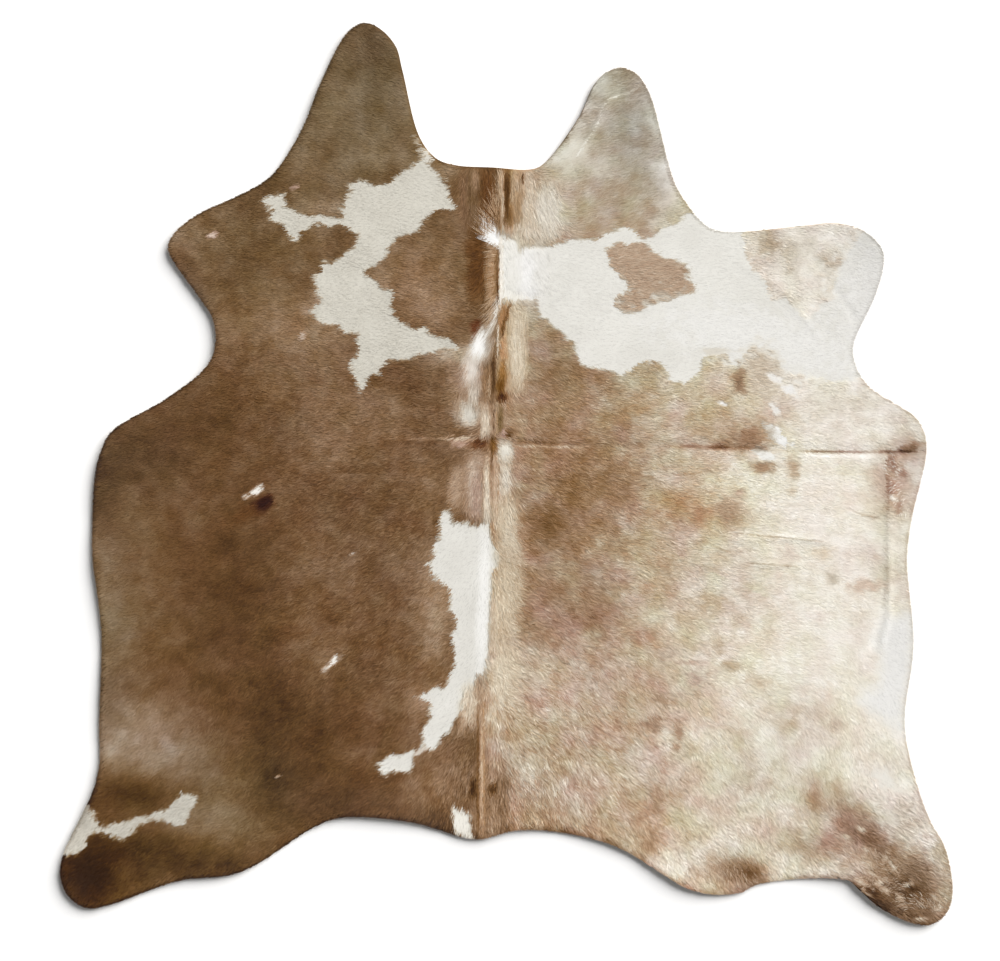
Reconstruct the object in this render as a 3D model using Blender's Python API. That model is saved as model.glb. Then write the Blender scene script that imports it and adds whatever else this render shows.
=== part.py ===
"""Cowhide rug: one whole tanned hide with its hair on, laid flat, hair side up.

Frame: metres, +Z up. The rug lies on z = 0. +Y runs along the spine towards the neck and +X is the
rug's right as it is seen from above. The origin is under the middle of the rug's outline box.

The rug is one piece, so it is one closed solid, "hide": a skin of even thickness, the short hair that
lies flat on it, the longer hair along the spine, the creases left by folding and drying, and the
edges that have dried with a slight curl.
"""
import bpy
import numpy as np
from mathutils.geometry import delaunay_2d_cdt

# Thickness
SKIN = 0.0025           # tanned skin, which is all there is at the cut edge
COAT = 0.0022           # short hair lying flat on the skin
COAT_WAVE = 0.0004      # how far the coat's thickness varies from place to place
COAT_WAVE_LENGTH = 0.47
EDGE_ROLL = 0.014       # over this width the coat thins out to the cut edge

# Curl of the edges
CURL_BAND = 0.13        # inside this distance from the edge the hide lies flat on the floor

# Fineness of the surface
EDGE_STEP = 0.031       # spacing of the points along the edge
TOP_STEP = 0.036        # spacing of the points on the hair side
UNDER_STEP = 0.075      # spacing of the points on the flesh side
CREASE_STEP = 0.031     # spacing of the points along a crease

# The cut edge, clockwise from the nape as seen from above, body region by body region.
# Each row is one point that the edge passes through: x, y in metres.
OUTLINE = {
    "nape": [(-0.035, 0.715), (0.050, 0.710), (0.080, 0.720)],
    "right neck flap": [(0.165, 0.830), (0.200, 0.905), (0.230, 0.935), (0.265, 0.945), (0.300, 0.930),
                        (0.330, 0.885), (0.375, 0.720), (0.395, 0.665)],
    "right shoulder": [(0.460, 0.580), (0.500, 0.565), (0.700, 0.580)],
    "right foreleg": [(0.765, 0.585), (0.830, 0.565), (0.870, 0.525), (0.875, 0.490), (0.855, 0.415)],
    "right armpit": [(0.805, 0.300), (0.810, 0.255), (0.840, 0.205)],
    "right chest": [(0.955, 0.125), (0.975, 0.065), (0.940, -0.110), (0.930, -0.200)],
    "right flank": [(0.945, -0.400), (0.925, -0.560), (0.930, -0.630)],
    "right hind leg": [(0.980, -0.800), (1.020, -0.875), (1.035, -0.985), (1.015, -1.030), (0.975, -1.050),
                       (0.875, -1.015), (0.820, -0.970), (0.790, -0.945)],
    "right thigh": [(0.585, -0.955), (0.540, -0.975), (0.435, -0.970), (0.250, -0.865)],
    "rump": [(0.090, -0.830), (0.015, -0.830), (-0.075, -0.850), (-0.225, -0.810), (-0.390, -0.800),
             (-0.455, -0.825)],
    "left thigh": [(-0.595, -0.915), (-0.655, -0.935), (-0.760, -0.945)],
    "left hind leg": [(-0.935, -1.005), (-0.980, -1.010), (-1.020, -0.985), (-1.040, -0.940),
                      (-1.035, -0.890), (-0.965, -0.740)],
    "left flank": [(-0.950, -0.680), (-0.950, -0.585), (-0.945, -0.375), (-0.955, -0.270),
                   (-0.965, -0.200)],
    "left chest": [(-0.960, -0.010), (-0.945, 0.055), (-0.920, 0.100), (-0.795, 0.175)],
    "left armpit": [(-0.700, 0.250), (-0.680, 0.295), (-0.685, 0.360)],
    "left foreleg": [(-0.720, 0.415), (-0.790, 0.525), (-0.775, 0.560), (-0.720, 0.605)],
    "left shoulder": [(-0.635, 0.645), (-0.555, 0.690), (-0.505, 0.755)],
    "left neck flap": [(-0.470, 0.820), (-0.435, 0.910), (-0.370, 1.030), (-0.330, 1.050), (-0.295, 1.035),
                       (-0.260, 0.995), (-0.245, 0.940), (-0.205, 0.785), (-0.165, 0.735),
                       (-0.120, 0.720)],
}

# Where the edge has dried with a curl: place, x, y, reach along the edge, lift of the edge
CURLS = (
    ("left neck flap tip", -0.340, 1.020, 0.150, 0.011),
    ("left neck flap side", -0.455, 0.840, 0.160, 0.010),
    ("right neck flap tip", 0.265, 0.925, 0.130, 0.009),
    ("right neck flap side", 0.165, 0.820, 0.100, 0.007),
    ("left foreleg tip", -0.785, 0.525, 0.150, 0.011),
    ("left foreleg, low side", -0.735, 0.435, 0.110, 0.010),
    ("left armpit", -0.690, 0.310, 0.150, 0.013),
    ("left chest", -0.950, 0.020, 0.200, 0.013),
    ("left flank", -0.950, -0.240, 0.220, 0.013),
    ("left flank, low", -0.950, -0.520, 0.200, 0.010),
    ("left hock", -0.965, -0.740, 0.140, 0.012),
    ("left hind foot", -1.020, -0.930, 0.190, 0.012),
    ("left thigh", -0.700, -0.940, 0.170, 0.010),
    ("left rump", -0.300, -0.800, 0.180, 0.012),
    ("rump", -0.020, -0.840, 0.170, 0.009),
    ("right rump", 0.260, -0.870, 0.150, 0.010),
    ("right thigh", 0.390, -0.950, 0.170, 0.013),
    ("right hock", 0.820, -0.970, 0.130, 0.013),
    ("right hind foot", 0.940, -1.040, 0.160, 0.011),
    ("right flank", 0.940, -0.380, 0.200, 0.004),
    ("right chest", 0.960, 0.090, 0.120, 0.006),
    ("right foreleg tip", 0.860, 0.530, 0.140, 0.009),
)

# Long hair that stands up along the spine: x, y, rise above the coat, half width
SPINE = (
    (0.004, 0.700, 0.0040, 0.034),
    (-0.006, 0.560, 0.0050, 0.036),
    (-0.014, 0.400, 0.0055, 0.036),
    (-0.024, 0.240, 0.0045, 0.034),
    (-0.031, 0.080, 0.0030, 0.030),
    (-0.039, -0.150, 0.0020, 0.028),
    (-0.045, -0.400, 0.0016, 0.026),
    (-0.055, -0.620, 0.0014, 0.026),
    (-0.056, -0.830, 0.0012, 0.024),
)

# Creases: name, rise of the middle (a trough is negative), half width, route from end to end
CREASES = (
    ("cross fold", -0.0018, 0.013,
     ((-0.150, 0.082), (-0.030, 0.074), (0.220, 0.062), (0.430, 0.071), (0.620, 0.058), (0.985, 0.052))),
    ("flank crease", 0.0016, 0.011, ((0.505, -0.155), (0.640, -0.147), (0.765, -0.160))),
    ("lower flank crease", 0.0014, 0.010, ((0.570, -0.210), (0.700, -0.212))),
    ("chest crease", -0.0014, 0.010, ((0.800, -0.120), (0.915, -0.092))),
    ("belly fold", 0.0018, 0.012, ((0.898, -0.010), (0.893, -0.180), (0.893, -0.330), (0.868, -0.430))),
    ("elbow crease", -0.0007, 0.013, ((0.700, 0.520), (0.760, 0.440), (0.835, 0.330))),
    ("shoulder crease", 0.0006, 0.013, ((0.530, 0.500), (0.640, 0.430), (0.745, 0.300))),
    ("neck crease", 0.0014, 0.010, ((0.245, 0.880), (0.205, 0.800), (0.165, 0.735))),
)

COAT_COLOUR = (0.235, 0.150, 0.088, 1.0)


def smooth_loop(points, per_span=24):
    """Closed centripetal Catmull-Rom curve through the points, so it passes them with no overshoot."""
    p1 = np.asarray(points, float)
    p0, p2, p3 = np.roll(p1, 1, 0), np.roll(p1, -1, 0), np.roll(p1, -2, 0)

    def knot(a, b):
        return np.sqrt(np.linalg.norm(b - a, axis=1))[:, None, None]

    t0 = 0.0
    t1 = t0 + knot(p0, p1)
    t2 = t1 + knot(p1, p2)
    t3 = t2 + knot(p2, p3)
    u = np.linspace(0.0, 1.0, per_span, endpoint=False)[None, :, None]
    t = t1 + u * (t2 - t1)
    p0, p1, p2, p3 = (p[:, None, :] for p in (p0, p1, p2, p3))
    a1 = (t1 - t) / (t1 - t0) * p0 + (t - t0) / (t1 - t0) * p1
    a2 = (t2 - t) / (t2 - t1) * p1 + (t - t1) / (t2 - t1) * p2
    a3 = (t3 - t) / (t3 - t2) * p2 + (t - t2) / (t3 - t2) * p3
    b1 = (t2 - t) / (t2 - t0) * a1 + (t - t0) / (t2 - t0) * a2
    b2 = (t3 - t) / (t3 - t1) * a2 + (t - t1) / (t3 - t1) * a3
    return ((t2 - t) / (t2 - t1) * b1 + (t - t1) / (t2 - t1) * b2).reshape(-1, 2)


def spaced(line, step, closed=False):
    """The same line with its points about one step apart, measured along it."""
    line = np.asarray(line, float)
    if closed:
        line = np.vstack([line, line[:1]])
    run = np.concatenate([[0.0], np.cumsum(np.linalg.norm(np.diff(line, axis=0), axis=1))])
    count = max(2, int(round(run[-1] / step)))
    at = np.linspace(0.0, run[-1], count, endpoint=False) if closed else np.linspace(0.0, run[-1], count)
    return np.stack([np.interp(at, run, line[:, 0]), np.interp(at, run, line[:, 1])], axis=1)


def from_route(points, route):
    """Distance of each point from a line of straight runs, and how far along it the nearest place is."""
    start, end = route[:-1], route[1:]
    span = end - start
    length = np.linalg.norm(span, axis=1)
    along = np.einsum("nkc,kc->nk", points[:, None, :] - start, span) / length ** 2
    along = np.clip(along, 0.0, 1.0)
    gap = np.linalg.norm(points[:, None, :] - (start + along[..., None] * span), axis=2)
    nearest = gap.argmin(axis=1)
    row = np.arange(len(points))
    run = np.concatenate([[0.0], np.cumsum(length)])
    return gap[row, nearest], run[nearest] + along[row, nearest] * length[nearest], run[-1]


def inside(points, loop):
    """Even-odd rule: a point is inside where a line to its right crosses the loop an odd number of times."""
    x, y = points[:, :1], points[:, 1:]
    ax, ay = loop[:, 0], loop[:, 1]
    bx, by = np.roll(ax, -1), np.roll(ay, -1)
    level = (ay > y) != (by > y)
    cross = ax + (y - ay) * (bx - ax) / np.where(by == ay, 1.0, by - ay)
    return (level & (x < cross)).sum(axis=1) % 2 == 1


def hide_outline():
    """The smooth cut edge, moved so that the origin is the middle of its box."""
    loop = smooth_loop([point for region in OUTLINE.values() for point in region])
    return loop - (loop.max(axis=0) + loop.min(axis=0)) / 2


def edge_distance(points, loop):
    """How far each point is inside the cut edge."""
    return from_route(points, np.vstack([loop, loop[:1]]))[0]


def under_height(points, depth):
    """Height of the flesh side: on the floor, but for the curled edges, which rise in a soft arc."""
    lift = np.zeros(len(points))
    for _place, x, y, reach, rise in CURLS:
        away = np.hypot(points[:, 0] - x, points[:, 1] - y) / reach
        lift = np.maximum(lift, rise * np.exp(-away ** 2))
    return lift * np.clip(1.0 - depth / CURL_BAND, 0.0, 1.0) ** 2


def spine_height(points):
    """Rise of the long hair along the spine: a bell across it, its height and width read along it."""
    spine = np.array(SPINE)
    gap, along, _length = from_route(points, spine[:, :2])
    run = np.concatenate([[0.0], np.cumsum(np.linalg.norm(np.diff(spine[:, :2], axis=0), axis=1))])
    rise = np.interp(along, run, spine[:, 2])
    half_width = np.interp(along, run, spine[:, 3])
    return rise * np.exp(-(gap / half_width) ** 2)


def crease_height(points):
    """Each crease is a ridge or trough with a low shoulder of the other sign beside it."""
    height = np.zeros(len(points))
    for _name, rise, half_width, route in CREASES:
        gap, along, length = from_route(points, np.array(route))
        across = (gap / half_width) ** 2
        ends = np.clip(np.minimum(along, length - along) / (3 * half_width), 0.0, 1.0)
        height += rise * ends * (1.0 - across) * np.exp(-across)
    return height


def top_height(points, depth):
    """Height of the hair side: the flesh side, the skin, and the coat with its spine and creases."""
    x, y = points[:, 0], points[:, 1]
    wave = np.sin(2 * np.pi * (x + 0.4 * y) / COAT_WAVE_LENGTH) * np.cos(2 * np.pi * y / (1.3 * COAT_WAVE_LENGTH))
    coat = COAT + COAT_WAVE * wave + spine_height(points) + crease_height(points)
    fade = np.sin(np.clip(depth / EDGE_ROLL, 0.0, 1.0) * np.pi / 2)
    return under_height(points, depth) + SKIN + coat * fade


def lattice(loop, step):
    """Points in staggered rows that fill the outline, clear of its edge."""
    low, high = loop.min(axis=0), loop.max(axis=0)
    rows = np.arange(low[1], high[1], step * np.sqrt(3) / 2)
    columns = np.arange(low[0], high[0], step)
    points = np.array([(x + (step / 2 if i % 2 else 0.0), y) for i, y in enumerate(rows) for x in columns])
    points = points[inside(points, loop)]
    return points[edge_distance(points, loop) > EDGE_ROLL + 0.45 * step]


def clear_of(points, others, gap):
    """The points that have none of the others nearer than the gap."""
    nearest = np.concatenate([
        np.linalg.norm(part[:, None, :] - others, axis=2).min(axis=1)
        for part in np.array_split(points, 16)])
    return points[nearest > gap]


def crease_lines(loop):
    """The lines that the surface is broken along: the middle and both sides of the spine and creases."""
    spine = np.array(SPINE)
    routes = [(spine[:, :2], 0.9 * float(spine[:, 3].mean()))]
    routes += [(np.array(route), half_width) for _name, _rise, half_width, route in CREASES]
    lines = []
    for route, half_width in routes:
        line = spaced(route, CREASE_STEP)
        run = np.gradient(line, axis=0)
        side = np.stack([-run[:, 1], run[:, 0]], axis=1) / np.linalg.norm(run, axis=1)[:, None]
        for offset in (-half_width, 0.0, half_width):
            points = line + side * offset
            keep = inside(points, loop)
            keep[keep] = edge_distance(points[keep], loop) > 1.6 * EDGE_ROLL
            lines.append(points[keep])
    return lines


def triangles(rim, lines, free):
    """Delaunay triangles of the area inside the rim, with the rim and the lines kept as edges."""
    points = [rim]
    edges = [(i, (i + 1) % len(rim)) for i in range(len(rim))]
    count = len(rim)
    for line in lines:
        points.append(line)
        edges += [(count + i, count + i + 1) for i in range(len(line) - 1)]
        count += len(line)
    points.append(free)
    flat = [tuple(point) for point in np.vstack(points)]
    found, _edges, faces, origin, _edge_origin, _face_origin = delaunay_2d_cdt(flat, edges, [], 1, 1e-6)
    place = {old: new for new, olds in enumerate(origin) for old in olds}
    rim_order = [place[i] for i in range(len(rim))]
    return np.array([tuple(point) for point in found]), [tuple(face) for face in faces], rim_order


def hide_mesh():
    """One closed surface: the hair side, the flesh side, and the cut edge that joins them."""
    loop = hide_outline()
    rim = spaced(loop, EDGE_STEP, closed=True)
    rim -= (rim.max(axis=0) + rim.min(axis=0)) / 2
    tangent = np.roll(rim, -1, 0) - np.roll(rim, 1, 0)
    inward = np.stack([tangent[:, 1], -tangent[:, 0]], axis=1) / np.linalg.norm(tangent, axis=1)[:, None]
    shoulder = rim + inward * EDGE_ROLL

    lines = crease_lines(loop)
    lines = [np.vstack([shoulder, shoulder[:1]])] + lines
    top_free = clear_of(lattice(loop, TOP_STEP), np.vstack(lines), 0.5 * TOP_STEP)
    top, top_faces, top_rim = triangles(rim, lines, top_free)
    under, under_faces, under_rim = triangles(rim, [], lattice(loop, UNDER_STEP))

    top_depth = edge_distance(top, rim)
    under_depth = edge_distance(under, rim)
    top_depth[top_rim] = 0.0
    under_depth[under_rim] = 0.0
    vertices = np.vstack([
        np.column_stack([top, top_height(top, top_depth)]),
        np.column_stack([under, under_height(under, under_depth)]),
    ])
    first_under = len(top)
    faces = list(top_faces)
    faces += [tuple(first_under + i for i in reversed(face)) for face in under_faces]
    for i in range(len(rim)):
        j = (i + 1) % len(rim)
        upper_i, upper_j = top_rim[i], top_rim[j]
        lower_i, lower_j = first_under + under_rim[i], first_under + under_rim[j]
        faces.append((upper_i, upper_j, lower_j))
        faces.append((upper_i, lower_j, lower_i))
    return vertices, faces


def coat_material():
    """Short brown hair, dull with a slight sheen."""
    material = bpy.data.materials.new("cow hair")
    material.use_nodes = True
    shader = material.node_tree.nodes["Principled BSDF"]
    shader.inputs["Base Color"].default_value = COAT_COLOUR
    shader.inputs["Roughness"].default_value = 0.7
    shader.inputs["Metallic"].default_value = 0.0
    return material


def main():
    for old in list(bpy.data.objects):
        bpy.data.objects.remove(old, do_unlink=True)
    vertices, faces = hide_mesh()
    mesh = bpy.data.meshes.new("hide")
    mesh.from_pydata([tuple(v) for v in vertices], [], faces)
    mesh.validate()
    mesh.materials.append(coat_material())
    mesh.shade_smooth()
    hide = bpy.data.objects.new("hide", mesh)
    bpy.context.scene.collection.objects.link(hide)


main()
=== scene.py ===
import bpy
import math
import numpy as np
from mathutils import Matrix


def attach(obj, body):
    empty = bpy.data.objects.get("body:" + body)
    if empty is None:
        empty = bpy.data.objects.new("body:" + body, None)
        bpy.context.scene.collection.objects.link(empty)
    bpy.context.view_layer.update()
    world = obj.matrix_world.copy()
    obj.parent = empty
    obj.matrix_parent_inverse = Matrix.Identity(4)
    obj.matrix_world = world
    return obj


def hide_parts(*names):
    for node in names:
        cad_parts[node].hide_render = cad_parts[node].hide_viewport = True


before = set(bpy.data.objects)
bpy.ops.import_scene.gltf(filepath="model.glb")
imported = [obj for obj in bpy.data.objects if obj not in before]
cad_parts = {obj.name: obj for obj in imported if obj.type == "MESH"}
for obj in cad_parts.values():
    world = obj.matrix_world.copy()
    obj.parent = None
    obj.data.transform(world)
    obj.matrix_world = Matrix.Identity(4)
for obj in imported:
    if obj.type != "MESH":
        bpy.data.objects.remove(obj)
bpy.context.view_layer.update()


# ---------------------------------------------------------------------------------------------------
# The floor, the light and the view. The hide lies on a plain white studio floor, seen from straight
# above. Soft daylight comes from everywhere, and one broad lamp far off, up and to the right, throws
# the narrow shadows along the hide's left and lower edges.

VIEW_WIDTH = 2.3333            # how much of the floor the picture takes in from side to side
VIEW_CENTRE = (-0.0152, -0.0152)
VIEW_HEIGHT = 5.6
SENSOR = 36.0

camera_data = bpy.data.cameras.new("view from above")
camera_data.sensor_fit = "HORIZONTAL"
camera_data.sensor_width = SENSOR
camera_data.lens = SENSOR * VIEW_HEIGHT / VIEW_WIDTH
camera = bpy.data.objects.new("view from above", camera_data)
camera.location = (VIEW_CENTRE[0], VIEW_CENTRE[1], VIEW_HEIGHT)
bpy.context.scene.collection.objects.link(camera)
bpy.context.scene.camera = camera

LAMP_FROM = (0.62, 0.62, 0.49)  # towards the lamp from the middle of the hide
lamp_data = bpy.data.lights.new("broad lamp", "SUN")
lamp_data.energy = 6.5
lamp_data.angle = math.radians(56)
lamp_data.color = (1.0, 0.988, 0.972)
lamp = bpy.data.objects.new("broad lamp", lamp_data)
azimuth = math.atan2(LAMP_FROM[1], LAMP_FROM[0])
elevation = math.atan2(LAMP_FROM[2], math.hypot(LAMP_FROM[0], LAMP_FROM[1]))
lamp.rotation_euler = (0.0, math.pi / 2 - elevation, azimuth)
bpy.context.scene.collection.objects.link(lamp)

world = bpy.data.worlds.new("soft daylight")
world.use_nodes = True
world.node_tree.nodes["Background"].inputs["Color"].default_value = (0.985, 0.99, 1.0, 1.0)
world.node_tree.nodes["Background"].inputs["Strength"].default_value = 0.19
bpy.context.scene.world = world
bpy.context.scene.view_settings.view_transform = "Standard"

FLOOR_HALF = 9.0
floor_mesh = bpy.data.meshes.new("studio floor")
floor_mesh.from_pydata(
    [(-FLOOR_HALF, -FLOOR_HALF, 0), (FLOOR_HALF, -FLOOR_HALF, 0),
     (FLOOR_HALF, FLOOR_HALF, 0), (-FLOOR_HALF, FLOOR_HALF, 0)], [], [(0, 1, 2, 3)])
floor = bpy.data.objects.new("studio_floor", floor_mesh)
floor_paint = bpy.data.materials.new("white floor paint")
floor_paint.use_nodes = True
floor_shader = floor_paint.node_tree.nodes["Principled BSDF"]
floor_shader.inputs["Base Color"].default_value = (0.93, 0.93, 0.93, 1.0)
floor_shader.inputs["Roughness"].default_value = 0.9
floor_shader.inputs["Specular IOR Level"].default_value = 0.1
floor_mesh.materials.append(floor_paint)
bpy.context.scene.collection.objects.link(floor)


# ---------------------------------------------------------------------------------------------------
# The skin. One whole tanned cowhide, 2.5 mm thick, trimmed with a knife around neck flaps, forelegs,
# flanks and hind legs. It lies flat on its flesh side, with the creases left by folding and drying,
# and its edges have dried with a slight curl.

SKIN = 0.0025
CURL_BAND = 0.13               # further inside the edge than this, the skin lies flat on the floor

# The cut edge, clockwise from the nape: x, y in metres
OUTLINE = {
    "nape": [(-0.035, 0.715), (0.050, 0.710), (0.080, 0.720)],
    "right neck flap": [(0.165, 0.830), (0.200, 0.905), (0.230, 0.935), (0.265, 0.945), (0.300, 0.930),
                        (0.330, 0.885), (0.375, 0.720), (0.395, 0.665)],
    "right shoulder": [(0.460, 0.580), (0.500, 0.565), (0.700, 0.580)],
    "right foreleg": [(0.765, 0.585), (0.830, 0.565), (0.870, 0.525), (0.875, 0.490), (0.855, 0.415)],
    "right armpit": [(0.805, 0.300), (0.810, 0.255), (0.840, 0.205)],
    "right chest": [(0.955, 0.125), (0.975, 0.065), (0.940, -0.110), (0.930, -0.200)],
    "right flank": [(0.945, -0.400), (0.925, -0.560), (0.930, -0.630)],
    "right hind leg": [(0.980, -0.800), (1.020, -0.875), (1.035, -0.985), (1.015, -1.030), (0.975, -1.050),
                       (0.875, -1.015), (0.820, -0.970), (0.790, -0.945)],
    "right thigh": [(0.585, -0.955), (0.540, -0.975), (0.435, -0.970), (0.250, -0.865)],
    "rump": [(0.090, -0.830), (0.015, -0.830), (-0.075, -0.850), (-0.225, -0.810), (-0.390, -0.800),
             (-0.455, -0.825)],
    "left thigh": [(-0.595, -0.915), (-0.655, -0.935), (-0.760, -0.945)],
    "left hind leg": [(-0.935, -1.005), (-0.980, -1.010), (-1.020, -0.985), (-1.040, -0.940),
                      (-1.035, -0.890), (-0.965, -0.740)],
    "left flank": [(-0.950, -0.680), (-0.950, -0.585), (-0.945, -0.375), (-0.955, -0.270),
                   (-0.965, -0.200)],
    "left chest": [(-0.960, -0.010), (-0.945, 0.055), (-0.920, 0.100), (-0.795, 0.175)],
    "left armpit": [(-0.700, 0.250), (-0.680, 0.295), (-0.685, 0.360)],
    "left foreleg": [(-0.720, 0.415), (-0.790, 0.525), (-0.775, 0.560), (-0.720, 0.605)],
    "left shoulder": [(-0.635, 0.645), (-0.555, 0.690), (-0.505, 0.755)],
    "left neck flap": [(-0.470, 0.820), (-0.435, 0.910), (-0.370, 1.030), (-0.330, 1.050), (-0.295, 1.035),
                       (-0.260, 0.995), (-0.245, 0.940), (-0.205, 0.785), (-0.165, 0.735),
                       (-0.120, 0.720)],
}

# Where the edge has dried with a curl: place, x, y, reach along the edge, lift of the edge
CURLS = (
    ("left neck flap tip", -0.340, 1.020, 0.150, 0.011),
    ("left neck flap side", -0.455, 0.840, 0.160, 0.010),
    ("right neck flap tip", 0.265, 0.925, 0.130, 0.009),
    ("right neck flap side", 0.165, 0.820, 0.100, 0.007),
    ("left foreleg tip", -0.785, 0.525, 0.150, 0.011),
    ("left foreleg, low side", -0.735, 0.435, 0.110, 0.010),
    ("left armpit", -0.690, 0.310, 0.150, 0.013),
    ("left chest", -0.950, 0.020, 0.200, 0.013),
    ("left flank", -0.950, -0.240, 0.220, 0.013),
    ("left flank, low", -0.950, -0.520, 0.200, 0.010),
    ("left hock", -0.965, -0.740, 0.140, 0.012),
    ("left hind foot", -1.020, -0.930, 0.190, 0.012),
    ("left thigh", -0.700, -0.940, 0.170, 0.010),
    ("left rump", -0.300, -0.800, 0.180, 0.012),
    ("rump", -0.020, -0.840, 0.170, 0.009),
    ("right rump", 0.260, -0.870, 0.150, 0.010),
    ("right thigh", 0.390, -0.950, 0.170, 0.013),
    ("right hock", 0.820, -0.970, 0.130, 0.013),
    ("right hind foot", 0.940, -1.040, 0.160, 0.011),
    ("right flank", 0.940, -0.380, 0.200, 0.004),
    ("right chest", 0.960, 0.090, 0.120, 0.006),
    ("right foreleg tip", 0.860, 0.530, 0.140, 0.009),
)

# The soft ridge of the spine: x, y, rise, half width
SPINE = (
    (0.004, 0.720, 0.0020, 0.034),
    (-0.006, 0.560, 0.0026, 0.036),
    (-0.014, 0.400, 0.0028, 0.036),
    (-0.024, 0.240, 0.0024, 0.034),
    (-0.031, 0.080, 0.0016, 0.030),
    (-0.039, -0.150, 0.0010, 0.028),
    (-0.045, -0.400, 0.0008, 0.026),
    (-0.055, -0.620, 0.0008, 0.026),
    (-0.056, -0.860, 0.0006, 0.024),
)

# Creases: name, rise of the middle (a trough is negative), half width, route from end to end
CREASES = (
    ("cross fold", -0.0018, 0.013,
     ((-0.150, 0.082), (-0.030, 0.074), (0.220, 0.062), (0.430, 0.071), (0.620, 0.058), (0.985, 0.052))),
    ("flank crease", 0.0016, 0.011, ((0.505, -0.155), (0.640, -0.147), (0.765, -0.160))),
    ("lower flank crease", 0.0014, 0.010, ((0.570, -0.210), (0.700, -0.212))),
    ("chest crease", -0.0014, 0.010, ((0.800, -0.120), (0.915, -0.092))),
    ("belly fold", 0.0018, 0.012, ((0.898, -0.010), (0.893, -0.180), (0.893, -0.330), (0.868, -0.430))),
    ("elbow crease", -0.0007, 0.013, ((0.700, 0.520), (0.760, 0.440), (0.835, 0.330))),
    ("shoulder crease", 0.0006, 0.013, ((0.530, 0.500), (0.640, 0.430), (0.745, 0.300))),
    ("neck crease", 0.0014, 0.010, ((0.245, 0.880), (0.205, 0.800), (0.165, 0.735))),
)


def smooth_loop(points, per_span=24):
    """Closed centripetal Catmull-Rom curve: each span blends three levels of straight-line mixing
    between four neighbouring points, with knots spaced by the square root of their distance."""
    p1 = np.asarray(points, float)
    p0, p2, p3 = np.roll(p1, 1, 0), np.roll(p1, -1, 0), np.roll(p1, -2, 0)

    def knot(a, b):
        return np.sqrt(np.linalg.norm(b - a, axis=1))[:, None, None]

    t0 = 0.0
    t1 = t0 + knot(p0, p1)
    t2 = t1 + knot(p1, p2)
    t3 = t2 + knot(p2, p3)
    t = t1 + np.linspace(0.0, 1.0, per_span, endpoint=False)[None, :, None] * (t2 - t1)
    p0, p1, p2, p3 = (p[:, None, :] for p in (p0, p1, p2, p3))
    a1 = (t1 - t) / (t1 - t0) * p0 + (t - t0) / (t1 - t0) * p1
    a2 = (t2 - t) / (t2 - t1) * p1 + (t - t1) / (t2 - t1) * p2
    a3 = (t3 - t) / (t3 - t2) * p2 + (t - t2) / (t3 - t2) * p3
    b1 = (t2 - t) / (t2 - t0) * a1 + (t - t0) / (t2 - t0) * a2
    b2 = (t3 - t) / (t3 - t1) * a2 + (t - t1) / (t3 - t1) * a3
    return ((t2 - t) / (t2 - t1) * b1 + (t - t1) / (t2 - t1) * b2).reshape(-1, 2)


def bell(x, y, cx, cy, reach):
    """1 at one place, falling off around it as a bell of the distance over the reach."""
    return np.exp(-((x - cx) ** 2 + (y - cy) ** 2) / reach ** 2)


AT_ONCE = 4_000_000            # how many pairs of a point and a run are worked on at once


def in_parts(points, runs):
    """The points' numbers, in parts small enough to be measured against that many runs at once."""
    return np.array_split(np.arange(len(points)), max(1, len(points) * runs // AT_ONCE))


def from_route(points, route):
    """Distance of each point from a line of straight runs, and the length run to the nearest place:
    the point is projected on every run, the projection is held between the run's ends, and the
    nearest of the projections counts."""
    route = np.asarray(route, float)
    start, span = route[:-1], np.diff(route, axis=0)
    length = np.linalg.norm(span, axis=1)
    run = np.concatenate([[0.0], np.cumsum(length)])
    gap = np.empty(len(points))
    along = np.empty(len(points))
    for part in in_parts(points, len(span)):
        share = ((points[part, None, :] - start) * span).sum(axis=2) / length ** 2
        share = np.clip(share, 0.0, 1.0)
        reach = np.hypot(points[part, None, 0] - start[:, 0] - share * span[:, 0],
                         points[part, None, 1] - start[:, 1] - share * span[:, 1])
        nearest = reach.argmin(axis=1)
        row = np.arange(len(part))
        gap[part] = reach[row, nearest]
        along[part] = run[nearest] + share[row, nearest] * length[nearest]
    return gap, along, run[-1]


def inside(points, loop):
    """Even-odd rule: a point is inside where a line to its right crosses the loop an odd number of
    times."""
    ax, ay = loop[:, 0], loop[:, 1]
    bx, by = np.roll(ax, -1), np.roll(ay, -1)
    slope = (bx - ax) / np.where(by == ay, 1.0, by - ay)
    result = np.empty(len(points), bool)
    for part in in_parts(points, len(loop)):
        x, y = points[part, :1], points[part, 1:]
        crossed = ((ay > y) != (by > y)) & (x < ax + (y - ay) * slope)
        result[part] = crossed.sum(axis=1) % 2 == 1
    return result


edge = smooth_loop([point for region in OUTLINE.values() for point in region])
edge = edge - (edge.max(axis=0) + edge.min(axis=0)) / 2
HIDE_WIDTH, HIDE_LENGTH = edge.max(axis=0) - edge.min(axis=0)

# The depth inside the edge, worked out once on a square lattice and read between its points
DEPTH_STEP = 0.006
DEPTH_HALF = 1.10
depth_line = np.arange(-DEPTH_HALF, DEPTH_HALF + DEPTH_STEP / 2, DEPTH_STEP)
depth_x, depth_y = np.meshgrid(depth_line, depth_line)
depth_points = np.column_stack([depth_x.ravel(), depth_y.ravel()])
coarse_edge = edge[::4]
depth_values = from_route(depth_points, np.vstack([coarse_edge, coarse_edge[:1]]))[0]
depth_values[~inside(depth_points, coarse_edge)] *= -1.0
depth_values = depth_values.reshape(depth_x.shape)


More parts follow.
